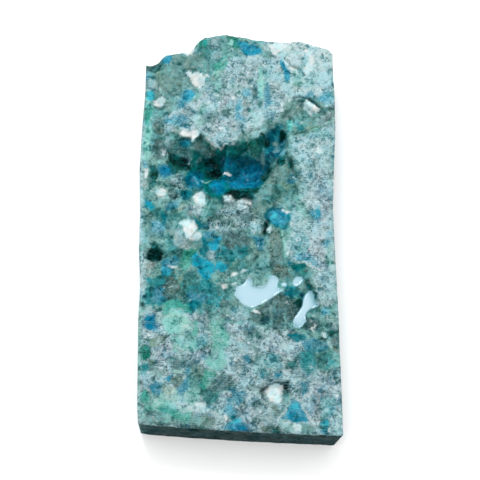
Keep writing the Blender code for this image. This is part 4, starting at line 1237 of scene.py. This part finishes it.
def painted(x, y, z, down):
    """Colour and finish of every point of the skin. Down is how far a point lies below the
    show face's rim, and zero on the show face. Each patch is an ellipse or an outline whose
    border is moved in and out by the waves and grains of Borders."""
    places = np.stack([x, y, -down], -1)
    wx = x + WARP * fractal(places, WARP_SIZE, 4, WARP_SEEDS[0])
    wy = y + WARP * fractal(places, WARP_SIZE, 4, WARP_SEEDS[1])
    borders = Borders(places)
    everywhere = np.arange(len(x))
    paint = np.tile(traits("slate"), (len(x), 1))
    draw = np.random.default_rng(HIDDEN_SEED)
    for number in range(HIDDEN_COUNT):
        mineral = HIDDEN_MINERALS[draw.integers(len(HIDDEN_MINERALS))]
        half = draw.uniform(*HIDDEN_SIZE) * draw.uniform(0.5, 1.0)
        middle = draw.uniform(BOX_LOW, BOX_HIGH)
        away = np.hypot(np.hypot(wx - middle[0], wy - middle[1]), z - middle[2])
        lay(paint, everywhere, mineral, half - away + 1.3 * borders.shift(everywhere, half, number))
    near_top = smooth(1.6 - down / 1.6)
    lay(paint, everywhere, "jade", np.full(x.shape, np.inf), near_top)
    for outline, mineral, saw in GROUND:
        lay(paint, everywhere, mineral, inside(wx, wy, outline), near_top, saw)
    for number, (mineral, cx, cy, half_length, half_width, turn) in enumerate(PATCHES):
        half = min(half_length, half_width)
        spots = within(x, y, ((cx, cy),), 2.0 * max(half_length, half_width))
        away = ellipse(wx[spots], wy[spots], cx, cy, half_length, half_width, turn)
        away = np.hypot(away, down[spots] / (0.8 * half + 1.0))
        lay(paint, spots, mineral, half * (1.0 - away) + borders.shift(spots, half, number))
    for number, (mineral, outline) in enumerate(OUTLINES):
        spots = within(x, y, outline, 1.5)
        reach = inside(wx[spots], wy[spots], outline) - WALL_FADE * down[spots]
        lay(paint, spots, mineral, reach + borders.shift(spots, OUTLINE_SWAY, number))
    for number, (mineral, cx, cy, half_length, half_width, turn) in enumerate(SPOTS):
        half = min(half_length, half_width)
        spots = within(x, y, ((cx, cy),), 1.5 * max(half_length, half_width) + 1.0)
        away = ellipse(wx[spots], wy[spots], cx, cy, half_length, half_width, turn)
        reach = half * (1.0 - away) - WALL_FADE * down[spots]
        lay(paint, spots, mineral, reach + 0.6 * borders.shift(spots, half, number))
    for mineral, width, path in LINES:
        spots = within(x, y, path, 1.5)
        reach = 0.5 * width - beside(wx[spots], wy[spots], path) - WALL_FADE * down[spots]
        lay(paint, spots, mineral, reach)
    # Pools painted pale blue: partly their own colour, partly a painted reflection.
    lay(paint, everywhere, "pool", pool_reach(x, y) - 4.0 * down)
    # The near end's wall is painted darker: partly its own slate, partly painted shade.
    lay(paint, everywhere, END_SHADE, END_REACH - HALF_LENGTH - y, smooth(down - 0.1))
    return paint


# ------------------------------------------------------------------ the skin's surface
def fine_relief(x, y, paint, sawn):
    """Height in mm that the minerals add to the ground: crystal points and rounded lumps where
    the paint has them, a rough grain on open ground, and small voids where the saw cut them."""
    flat = np.stack([x, y, 0.0 * x], -1)
    fields = dict(zip(FIELDS, paint[:, 3:].T))
    opened = smooth(0.3 - sawn / ledge_run(x, y))
    share = 0.25 + 0.75 * opened
    rise = fields["points"] * (points(x, y, POINT_SIZE, POINT_SEEDS[0]) - 0.3) * POINT_RISE
    rise += fields["points"] * (points(x, y, 0.5 * POINT_SIZE, POINT_SEEDS[1]) - 0.3) * 0.4 * POINT_RISE
    rise += fields["lumps"] * (lumps(x, y, LUMP_SIZE, LUMP_SEEDS[0]) - 0.5) * LUMP_RISE
    rise += fields["lumps"] * (lumps(x, y, 0.4 * LUMP_SIZE, LUMP_SEEDS[1]) - 0.5) * 0.3 * LUMP_RISE
    rough = OPEN_ROUGH * fractal(flat, ROUGH_SIZE, 5, ROUGH_SEED)
    voids = smooth(3.0 * (fractal(flat, VOID_SIZE, 3, VOID_SEED) - 0.42)) * VOID_DEPTH * fields["grain"]
    return share * rise + opened * rough - voids * (1.0 - 0.6 * opened) + 0.02 * rough


def show_height(x, y, rim_away):
    """Height and paint of the show face. The saw's level, less the depth of the ground, plus
    the fine relief; a pool is level; the rim is rounded, and nibbled where noise is high."""
    down = np.zeros(x.shape)
    flat = np.stack([x, y, down], -1)
    sway = [LEDGE_SWAY * fractal(flat, LEDGE_SWAY_SIZE, 4, seed) for seed in LEDGE_SEEDS]
    sawn = sawn_reach(x + sway[0], y + sway[1])
    level = THICKNESS - depth(x, y, sawn)
    paint = painted(x, y, level, down)
    level += fine_relief(x, y, paint, sawn)
    pool = smooth(pool_reach(x, y) / POOL_EDGE)
    level += pool * (THICKNESS - POOL_DEPTH - level)
    nibble = smooth(2.5 * (fractal(flat, NIBBLE_SIZE, 3, NIBBLE_SEED) - 0.05))
    level -= RIM_ROUND * (1.0 - smooth(rim_away / (1.6 * RIM_ROUND)))
    level -= RIM_NIBBLE * nibble * (1.0 - smooth(rim_away / (2.2 * RIM_NIBBLE)))
    return np.minimum(level, THICKNESS - 0.01), paint


def spread(heights, reach):
    """Each height averaged with its neighbours up to a reach of grid steps away both ways."""
    for axis in (0, 1):
        edges = [(reach, reach) if axis == side else (0, 0) for side in (0, 1)]
        sums = np.cumsum(np.pad(heights, edges, "edge"), axis)
        ahead = np.take(sums, range(2 * reach, sums.shape[axis]), axis)
        behind = np.take(sums, range(sums.shape[axis] - 2 * reach), axis)
        heights = (ahead - behind) / (2.0 * reach)
    return heights


def crevices(level):
    """How much each point of the show face is sunk among its neighbours, from -1 to 1."""
    heights = level.reshape(ROWS, COLUMNS)
    sunk = (spread(heights, 2) - heights) * 3.0 + (spread(heights, 6) - heights) * 1.5
    return np.clip(sunk, -1.0, 1.0).ravel()


def stations(count, length):
    """Even fractions from 0 to 1, with two close stations inside each rim for its rounding."""
    close = np.array(RIM_STATIONS) / length
    middle = np.linspace(close[-1], 1.0 - close[-1], count - 2 * len(close) + 2)
    return np.concatenate((close[:-1], middle, 1.0 - close[-2::-1]))


def ring(columns, rows):
    """Indices of a grid's border, anticlockwise from above, starting at its first point."""
    grid = np.arange(columns * rows).reshape(rows, columns)
    return np.concatenate((grid[0, :-1], grid[:-1, -1], grid[-1, :0:-1], grid[:0:-1, 0]))


def quads(columns, rows):
    """Faces of a grid, anticlockwise from above."""
    grid = np.arange(columns * rows).reshape(rows, columns)
    return np.stack((grid[:-1, :-1], grid[:-1, 1:], grid[1:, 1:], grid[1:, :-1]), -1).reshape(-1, 4)


def wall_rings(rim):
    """The walls: the rim carried down through the wall levels, each point moved in along the
    outline's normal by a little roughness, and by the broken end and the chipped corner."""
    x, y, z = rim.T
    step = np.roll(rim[:, :2], -3, 0) - np.roll(rim[:, :2], 3, 0)
    inward = np.stack((-step[:, 1], step[:, 0]), -1)
    inward /= np.linalg.norm(inward, axis=-1, keepdims=True)
    torn = smooth((y - BROKEN_FROM) / BROKEN_RUN)
    for level in WALL_LEVELS:
        places = np.stack([x, y, z * level], -1)
        rough = 0.5 + 0.5 * np.clip(fractal(places, WALL_ROUGH_SIZE, 4, WALL_SEED), -1.0, 1.0)
        sunk = (WALL_ROUGH + (BROKEN_ROUGH - WALL_ROUGH) * torn) * rough
        sunk *= smooth((1.0 - level) / 0.1)
        sunk += FOOT_ROUND * smooth(1.0 - level * THICKNESS / FOOT_ROUND)
        places[:, :2] += inward * sunk[:, None]
        places[:, 0] -= chipped(x, y, level)
        places[:, 1] -= broken(x, y, level)
        yield places


def skin():
    """Places, paint and faces of the closed skin: a fine grid for the show face, rings down the
    walls, a collar of wide faces on the back, and a coarse grid for the rest of the back."""
    v, u = np.meshgrid(stations(ROWS, 2.0 * HALF_LENGTH), stations(COLUMNS, 2.0 * HALF_WIDTH), indexing="ij")
    u, v = u.ravel(), v.ravel()
    x, y = plan(u, v)
    across_away = 2.0 * HALF_WIDTH * np.minimum(u, 1.0 - u)
    along_away = 2.0 * HALF_LENGTH * np.minimum(v, 1.0 - v)
    rim_away = np.minimum(across_away, along_away)
    z, paint = show_height(x, y, rim_away)
    # Painted shade darkens the crevices and a painted highlight pales the tips, by how sunk each point is.
    sunk = crevices(z)[:, None]
    white = smooth((paint[:, :1] / paint[:, 2:3] - 0.5) / 0.3)
    shade = CREVICE_SHADE + white * (np.array(WHITE_SHADE) - CREVICE_SHADE)
    paint[:, :3] *= shade ** np.maximum(sunk, 0.0) * (1.0 + PAINTED_TIP_HIGHLIGHT * np.maximum(-sunk, 0.0))
    show = np.stack([x, y, z], -1)
    border = ring(COLUMNS, ROWS)
    rim = show[border]
    walls = list(wall_rings(rim))

    coarse_v, coarse_u = np.meshgrid(
        np.linspace(BACK_INSET / HALF_LENGTH, 1.0 - BACK_INSET / HALF_LENGTH, BACK_ROWS),
        np.linspace(BACK_INSET / HALF_WIDTH, 1.0 - BACK_INSET / HALF_WIDTH, BACK_COLUMNS),
        indexing="ij")
    bx, by = plan(coarse_u.ravel(), coarse_v.ravel())
    back = np.stack([bx - chipped(bx, by, 0.0), by - broken(bx, by, 0.0), 0.0 * bx], -1)

    places = np.concatenate([show] + walls + [back])
    hidden = np.concatenate(walls + [back])
    down = np.concatenate([rim[:, 2] - wall[:, 2] for wall in walls] + [np.full(len(back), THICKNESS)])
    paint = np.concatenate([paint, painted(*hidden.T, down)])

    count = len(border)
    first_wall = len(show)
    loops = [border] + [first_wall + count * k + np.arange(count) for k in range(len(walls))]
    faces = quads(COLUMNS, ROWS).tolist()
    for upper, lower in zip(loops, loops[1:]):
        faces += np.stack((upper, lower, np.roll(lower, -1), np.roll(upper, -1)), -1).tolist()
    first_back = first_wall + count * len(walls)
    inner = first_back + ring(BACK_COLUMNS, BACK_ROWS)
    outer = loops[-1].reshape(-1, BACK_STEP)
    outer = np.concatenate((outer, np.roll(outer[:, :1], -1, 0)), 1)
    faces += np.concatenate((inner[:, None], np.roll(inner, -1)[:, None], outer[:, ::-1]), 1).tolist()
    faces += (first_back + quads(BACK_COLUMNS, BACK_ROWS)[:, ::-1]).tolist()
    return places, paint, faces


def flat_places(places, faces):
    """Where every face corner lies on the flat map, from 0 to 1. The show face and the back keep
    x and y, the back seen from below. A wall takes the distance run along the rim and its height,
    and the two long walls are turned a quarter."""
    corners = np.concatenate(faces)
    x, y, z = places[corners].T
    count = 2 * (COLUMNS + ROWS - 2)
    first_wall = 4 * (COLUMNS - 1) * (ROWS - 1)
    first_back = first_wall + 4 * count * len(WALL_LEVELS)
    flat = np.array(SHOW_CORNER) + SHOW_SCALE * np.stack([x + HALF_WIDTH, y + HALF_LENGTH], -1)

    rim = places[ring(COLUMNS, ROWS)][:, :2]
    run = np.concatenate(([0.0], np.cumsum(np.linalg.norm(np.roll(rim, -1, 0) - rim, axis=1))))
    starts = np.cumsum((0, COLUMNS - 1, ROWS - 1, COLUMNS - 1, ROWS - 1))
    lengths = 2.0 * np.array((HALF_WIDTH, HALF_LENGTH, HALF_WIDTH, HALF_LENGTH))
    segment = np.tile(np.repeat(np.arange(count), 4), len(WALL_LEVELS))
    ahead = np.tile((0, 0, 1, 1), count * len(WALL_LEVELS))
    side = np.searchsorted(starts, segment, "right") - 1
    along = (run[segment + ahead] - run[starts[side]]) * (lengths / np.diff(run[starts]))[side]
    height = z[first_wall:first_back]
    lying = np.stack([along, height], -1)
    turned = np.stack([THICKNESS - height, along], -1)
    wall = np.where((side % 2 == 1)[:, None], turned, lying)
    flat[first_wall:first_back] = np.array(WALL_CORNERS)[side] + HIDDEN_SCALE * wall

    below = np.stack([HALF_WIDTH - x[first_back:], y[first_back:] + HALF_LENGTH], -1)
    flat[first_back:] = np.array(BACK_CORNER) + HIDDEN_SCALE * below
    return flat / FLAT_SIZE


def made_piece(name, places, faces, material):
    """A mesh object at the origin, with its place in its mesh, from millimetres."""
    data = bpy.data.meshes.new(name)
    data.from_pydata((places * MM).tolist(), [], faces)
    data.materials.append(material)
    piece = bpy.data.objects.new(name, data)
    bpy.context.scene.collection.objects.link(piece)
    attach(piece, "root")
    return piece


def store(data, name, values):
    """Writes one number, or one colour, for every vertex into a named attribute."""
    if values.ndim == 1:
        layer = data.attributes.new(name, "FLOAT", "POINT")
        layer.data.foreach_set("value", values.astype(np.float32))
    else:
        layer = data.attributes.new(name, "FLOAT_COLOR", "POINT")
        full = np.concatenate((values, np.ones((len(values), 1))), 1)
        layer.data.foreach_set("color", full.astype(np.float32).ravel())


# ------------------------------------------------------------------ materials
class Term:
    """A socket in a material's node tree that takes part in sums."""

    def __init__(self, tree, output=None):
        self.tree = tree
        self.output = output

    def node(self, kind, settings=None, inputs=None, output=0):
        """Adds any node: its type, its settings, then the values or links of its sockets."""
        made = self.tree.nodes.new(kind)
        for name, value in (settings or {}).items():
            setattr(made, name, value)
        for name, value in (inputs or {}).items():
            if isinstance(value, Term):
                self.tree.links.new(value.output, made.inputs[name])
            else:
                made.inputs[name].default_value = value
        return Term(self.tree, made.outputs[output])

    def math(self, operation, first, second=0.0):
        return self.node("ShaderNodeMath", {"operation": operation}, {0: first, 1: second})

    def __add__(self, other):
        return self.math("ADD", self, other)

    __radd__ = __add__

    def __sub__(self, other):
        return self.math("SUBTRACT", self, other)

    def __rsub__(self, other):
        return self.math("SUBTRACT", other, self)

    def __mul__(self, other):
        return self.math("MULTIPLY", self, other)

    __rmul__ = __mul__

    def __abs__(self):
        return self.math("ABSOLUTE", self)

    def step(self, low, high):
        """Zero below low, one above high, an S-curve between; falls if low is above high."""
        return self.node(
            "ShaderNodeMapRange", {"interpolation_type": "SMOOTHSTEP"},
            {"Value": self, "From Min": low, "From Max": high})

    def mix(self, share, first, second, blend="MIX"):
        """Two colours mixed by a share."""
        return self.node(
            "ShaderNodeMix", {"data_type": "RGBA", "blend_type": blend},
            {0: share, 6: first, 7: second}, 2)


def new_material(name):
    """An empty material, its tree as a Term, and its Principled shader."""
    material = bpy.data.materials.new(name)
    material.use_nodes = True
    tree = material.node_tree
    return material, Term(tree), tree.nodes["Principled BSDF"]


def rgba(colour):
    """An opaque colour, for a socket that takes four numbers."""
    return (*colour[:3], 1.0)


def speckle(term, places, size, detail, rough, warp=0.0):
    """Noise of a size in mm, from 0 to 1."""
    return term.node(
        "ShaderNodeTexNoise", None,
        {"Vector": places, "Scale": 1.0 / size, "Detail": detail, "Roughness": rough, "Distortion": warp})


def grains(term, places, size):
    """Three random numbers from 0 to 1 for each grain of a mosaic of a size in mm."""
    cells = term.node("ShaderNodeTexVoronoi", None, {"Vector": places, "Scale": 1.0 / size}, 1)
    return [term.node("ShaderNodeSeparateColor", None, {0: cells}, axis) for axis in range(3)]


def stone_material(settings):
    """The slab's finish. Base colour is the painted mineral, shaded darker and paler by noise
    at four sizes and a mosaic of grains, then broken up by pale and dark worm-like lines,
    tinted grains, dark flecks, white specks that are partly white grains and partly painted
    glints, and thin veins. The saw's lines and the grain are in the bump."""
    material, term, shader = new_material("chrysocolla stone")
    metres = term.node("ShaderNodeTexCoord", output=3)
    places = term.node("ShaderNodeVectorMath", {"operation": "SCALE"}, {0: metres, "Scale": 1.0 / MM})
    field = {name: term.node("ShaderNodeAttribute", {"attribute_name": name}, output=2) for name in FIELDS}
    colour = term.node("ShaderNodeAttribute", {"attribute_name": "mineral"}, output=0)

    clouds = speckle(term, places, 3.4, 3.0, 0.6, 0.8)
    swirls = speckle(term, places, 1.7, 3.0, 0.6, 1.6)
    grain = speckle(term, places, 0.8, 2.0, 0.6, 0.8)
    dust = speckle(term, places, 0.4, 1.0, 0.5)
    worms = speckle(term, places, 1.9, 2.0, 0.5, 1.8)
    fine_worms = speckle(term, places, 1.2, 2.0, 0.5, 1.4)
    hue = speckle(term, places, 4.2, 1.0, 0.45, 1.0)
    veil = speckle(term, places, 2.8, 1.0, 0.45, 1.2)
    drift = term.node("ShaderNodeTexNoise", None, {"Vector": places, "Scale": 0.6, "Detail": 3.0}, 1)
    bent = term.node("ShaderNodeVectorMath", {"operation": "ADD"}, {0: places, 1: drift})
    lucky = grains(term, places, 0.8)
    chosen = grains(term, bent, 1.7)
    gritty = field["grain"]
    matt = 1.0 - field["gloss"].step(0.7, 1.0)

    soft = (clouds - 0.5) * 1.6 + (swirls - 0.5) * 2.8 + (chosen[0] - 0.5) * (0.9 - 0.5 * gritty)
    fine = (grain - 0.5) * 2.0 + (dust - 0.5) * 1.0 + (lucky[0] - 0.5) * 0.2
    white = term.node("ShaderNodeSeparateColor", None, {0: colour}, 0).step(0.27, 0.36)
    tone = (soft * (0.7 + 0.55 * gritty) + fine * (0.25 + 0.60 * gritty)) * matt
    tone = tone * (1.0 - 0.65 * white)
    shade = term.mix(gritty, rgba(settings.shade_colour), rgba(settings.dust_colour))
    deep = term.mix(1.0, colour, shade, "MULTIPLY")
    lifted = term.mix(1.0, colour, rgba(settings.lift_colour), "MULTIPLY")
    glowing = term.mix(1.0, colour, rgba(settings.glow_colour), "ADD")
    bright = term.mix(field["gloss"].step(0.05, 0.25), lifted, glowing)
    bright = term.mix(gritty * gritty * 0.8, bright, rgba(settings.pale_colour))
    lit = term.mix(tone.step(0.05, -0.80), colour, deep)
    lit = term.mix(tone.step(-0.05, 0.85) * 0.74, lit, bright)

    stain = term.mix(hue.step(0.36, 0.64), rgba(settings.warm_stain), rgba(settings.cool_stain))
    lit = term.mix(matt, lit, term.mix(1.0, lit, stain, "MULTIPLY"))
    shine = soft.step(-0.6, 0.6)
    blue = term.mix(shine, rgba(settings.blue_tint), rgba(settings.blue_pale))
    green = term.mix(shine, rgba(settings.green_tint), rgba(settings.green_pale))
    lit = term.mix(veil.step(0.53, 0.66) * 0.3 * gritty, lit, blue)
    lit = term.mix(veil.step(0.47, 0.34) * 0.27 * gritty, lit, green)

    dark_line = (1.0 - abs(fine_worms - 0.5).step(0.0, 0.06)) * swirls.step(0.62, 0.46)
    lit = term.mix(dark_line * 0.35 * gritty, lit, term.mix(1.0, lit, shade, "MULTIPLY"))
    pale_line = (1.0 - abs(worms - 0.5).step(0.0, 0.08)) * clouds.step(0.38, 0.52)
    lit = term.mix(pale_line * 0.75 * gritty * gritty, lit, rgba(settings.pale_colour))
    fleck = lucky[2].step(0.08, 0.05) * (0.08 + 0.17 * gritty) * matt
    lit = term.mix(fleck, lit, rgba(settings.fleck_colour))
    # White specks: partly white grains, partly painted glints.
    specks_and_glints = lucky[2].step(0.96, 0.975) * grain.step(0.40, 0.55) * clouds.step(0.42, 0.56)
    lit = term.mix(specks_and_glints * 0.75 * gritty * matt, lit, rgba(settings.speck_and_glint_colour))

    cracks = term.node(
        "ShaderNodeTexVoronoi", {"feature": "DISTANCE_TO_EDGE"}, {"Vector": bent, "Scale": 0.33})
    vein = (1.0 - cracks.step(0.01, 0.035)) * clouds.step(0.50, 0.62) * field["veins"]
    lit = term.mix(vein * 0.4, lit, rgba(settings.vein_colour))

    apart = term.node("ShaderNodeSeparateXYZ", None, {0: places}, 1)
    across = term.node("ShaderNodeSeparateXYZ", None, {0: places}, 0)
    turns = (apart + across * 0.08 + (clouds - 0.5) * 0.8) * (2.0 * math.pi * MM / settings.saw_pitch)
    teeth = term.math("SINE", turns) * 0.5 + 0.5
    marks = teeth.step(0.55, 1.0) * field["saw"] * clouds.step(0.40, 0.60)
    lit = term.mix(marks * 0.3, lit, rgba(settings.pale_colour))

    height = grain * 0.16 + swirls * 0.22 + teeth * field["saw"] * 0.03 + dust * 0.04
    height = (height + lucky[0] * 0.05) * (0.15 + 0.85 * gritty) * (1.0 - field["gloss"])
    bump = term.node("ShaderNodeBump", None, {"Strength": 1.0, "Distance": MM, "Height": height})
    links = term.tree.links
    links.new(lit.output, shader.inputs["Base Color"])
    links.new((0.62 - 0.42 * field["gloss"] + (grain - 0.5) * 0.2).output, shader.inputs["Roughness"])
    links.new(field["gloss"].step(0.8, 0.95).output, shader.inputs["Coat Weight"])
    links.new(bump.output, shader.inputs["Normal"])
    shader.inputs["Coat Roughness"].default_value = 0.04
    shader.inputs["Specular IOR Level"].default_value = 0.0
    return material


def plain_material(name, colour, roughness):
    """One even colour and roughness."""
    material, _, shader = new_material(name)
    shader.inputs["Base Color"].default_value = rgba(colour)
    shader.inputs["Roughness"].default_value = roughness
    return material


# ------------------------------------------------------------------ settings
def colour_setting(name, description, default, most=1.0):
    """A colour that the panel shows, none of its parts above the most."""
    return FloatVectorProperty(
        name=name, description=description, default=default, subtype="COLOR", min=0.0, max=most)


class SlabSettings(bpy.types.PropertyGroup):
    saw_pitch: FloatProperty(
        name="Saw Pitch", description="Distance between the saw's lines", default=0.0006,
        min=0.0002, unit="LENGTH")
    shade_colour: colour_setting(
        "Shade", "What the darkest of each mineral is multiplied by", (0.08, 0.33, 0.36))
    pale_colour: colour_setting("Pale", "Colour of the pale clouds and lines", (0.31, 0.43, 0.45))
    glow_colour: colour_setting(
        "Glow", "What is added to the brightest of each smooth mineral", (0.0, 0.09, 0.115))
    lift_colour: colour_setting(
        "Lift", "What the brightest of each dull mineral is multiplied by", (1.36, 1.30, 1.29), 2.0)
    warm_stain: colour_setting(
        "Warm Stain", "What the warm side of the slow stains multiplies by", (1.09, 0.995, 0.97), 2.0)
    cool_stain: colour_setting(
        "Cool Stain", "What the cool side of the slow stains multiplies by", (0.82, 1.0, 1.03), 2.0)
    dust_colour: colour_setting(
        "Dust", "What the darkest of each grainy mineral is multiplied by", (0.19, 0.36, 0.37))
    blue_tint: colour_setting("Blue Grains", "Colour of the scattered blue grains", (0.05, 0.20, 0.27))
    blue_pale: colour_setting("Pale Blue", "Colour of the pale blue stains", (0.20, 0.40, 0.48))
    green_pale: colour_setting("Pale Green", "Colour of the pale green stains", (0.22, 0.42, 0.37))
    green_tint: colour_setting(
        "Green Grains", "Colour of the scattered green grains", (0.06, 0.22, 0.17))
    fleck_colour: colour_setting("Flecks", "Colour of the dark flecks and lines", (0.01, 0.055, 0.06))
    # White specks, partly painted glints.
    speck_and_glint_colour: colour_setting("White Specks", "Colour of the white specks", (0.44, 0.50, 0.51))
    vein_colour: colour_setting("Veins", "Colour of the thin mint veins", (0.32, 0.48, 0.45))


class StageSettings(bpy.types.PropertyGroup):
    floor_colour: colour_setting("Floor", "Colour of the plain floor", (0.83, 0.83, 0.83))
    camera_distance: FloatProperty(
        name="Camera Distance", description="From the camera to the slab's middle", default=0.4,
        min=0.1, unit="LENGTH")
    camera_elevation: FloatProperty(
        name="Camera Elevation", description="Height of the camera above the horizon",
        default=math.radians(70.0), subtype="ANGLE")
    lens: FloatProperty(
        name="Lens", description="Focal length", default=118.3, min=10.0, unit="CAMERA")
    key_power: FloatProperty(
        name="Key Light", description="Power of the softbox", default=1.36, min=0.0, unit="POWER")
    fill: FloatProperty(
        name="Fill", description="Strength of the even light from all round", default=1.43, min=0.0)


# ------------------------------------------------------------------ operators
class SLAB_OT_stone(bpy.types.Operator):
    """Make the slab's skin: show face, walls and back"""
    bl_idname = "slab.stone"
    bl_label = "Slab"
    bl_options = {"REGISTER", "UNDO"}

    def execute(self, context):
        places, paint, faces = skin()
        piece = made_piece("chrysocolla_skin", places, faces, stone_material(context.scene.slab))
        data = piece.data
        store(data, "mineral", paint[:, :3])
        for name, values in zip(FIELDS, paint[:, 3:].T):
            store(data, name, values)
        smooth_faces = np.array([paint[face[0], 3 + FIELDS.index("points")] < SHARP_FROM for face in faces])
        data.polygons.foreach_set("use_smooth", smooth_faces)
        layer = data.uv_layers.new(name=FLAT_MAP)
        layer.uv.foreach_set("vector", flat_places(places, faces).astype(np.float32).ravel())
        data.update()
        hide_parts(NODE)
        return {"FINISHED"}


class SLAB_OT_stage(bpy.types.Operator):
    """Make the floor, the lights and the camera"""
    bl_idname = "slab.stage"
    bl_label = "Stage"
    bl_options = {"REGISTER", "UNDO"}

    def execute(self, context):
        scene = context.scene
        stage = scene.slab_stage
        self.floor(scene, stage)
        self.lights(scene, stage)
        self.camera(scene, stage)
        scene.view_settings.view_transform = "Standard"
        return {"FINISHED"}

    def floor(self, scene, stage):
        mesh = bmesh.new()
        bmesh.ops.create_grid(mesh, x_segments=1, y_segments=1, size=FLOOR_HALF)
        data = bpy.data.meshes.new("floor")
        mesh.to_mesh(data)
        mesh.free()
        data.materials.append(plain_material("pale floor", stage.floor_colour, 0.9))
        floor = bpy.data.objects.new("floor", data)
        scene.collection.objects.link(floor)

    def lights(self, scene, stage):
        key = bpy.data.lights.new("softbox", "AREA")
        key.shape = "RECTANGLE"
        key.size, key.size_y = KEY_SIZE
        key.energy = stage.key_power
        key.color = KEY_COLOUR
        softbox = bpy.data.objects.new("softbox", key)
        softbox.location = KEY_PLACE
        softbox.rotation_euler = (-Vector(KEY_PLACE)).to_track_quat("-Z", "Y").to_euler()
        scene.collection.objects.link(softbox)
        world = bpy.data.worlds.new("studio")
        world.use_nodes = True
        background = world.node_tree.nodes["Background"]
        background.inputs["Color"].default_value = (1.0, 1.0, 1.0, 1.0)
        background.inputs["Strength"].default_value = stage.fill
        scene.world = world

    def camera(self, scene, stage):
        lens = bpy.data.cameras.new("camera")
        lens.lens = stage.lens
        camera = bpy.data.objects.new("camera", lens)
        tilt = stage.camera_elevation
        back = Vector((0.0, -math.cos(tilt), math.sin(tilt)))
        camera.location = Vector(CAMERA_AIM) + back * stage.camera_distance
        camera.rotation_euler = (-back).to_track_quat("-Z", "Y").to_euler()
        scene.collection.objects.link(camera)
        scene.camera = camera


class SLAB_PT_panel(bpy.types.Panel):
    """Lists the slab's pieces and settings"""
    bl_idname = "SLAB_PT_panel"
    bl_label = "Chrysocolla Slab"
    bl_space_type = "VIEW_3D"
    bl_region_type = "UI"
    bl_category = "Chrysocolla"

    def draw(self, context):
        layout = self.layout
        for group in (context.scene.slab, context.scene.slab_stage):
            for name in group.__annotations__:
                layout.prop(group, name)
        for operator in OPERATORS:
            layout.operator(operator.bl_idname)


OPERATORS = (SLAB_OT_stone, SLAB_OT_stage)
CLASSES = (SlabSettings, StageSettings) + OPERATORS + (SLAB_PT_panel,)


def register():
    for kind in CLASSES:
        bpy.utils.register_class(kind)
    bpy.types.Scene.slab = PointerProperty(type=SlabSettings)
    bpy.types.Scene.slab_stage = PointerProperty(type=StageSettings)


def unregister():
    del bpy.types.Scene.slab_stage
    del bpy.types.Scene.slab
    for kind in reversed(CLASSES):
        bpy.utils.unregister_class(kind)


def main():
    register()
    bpy.ops.slab.stone()
    bpy.ops.slab.stage()


if __name__ == "__main__":
    main()
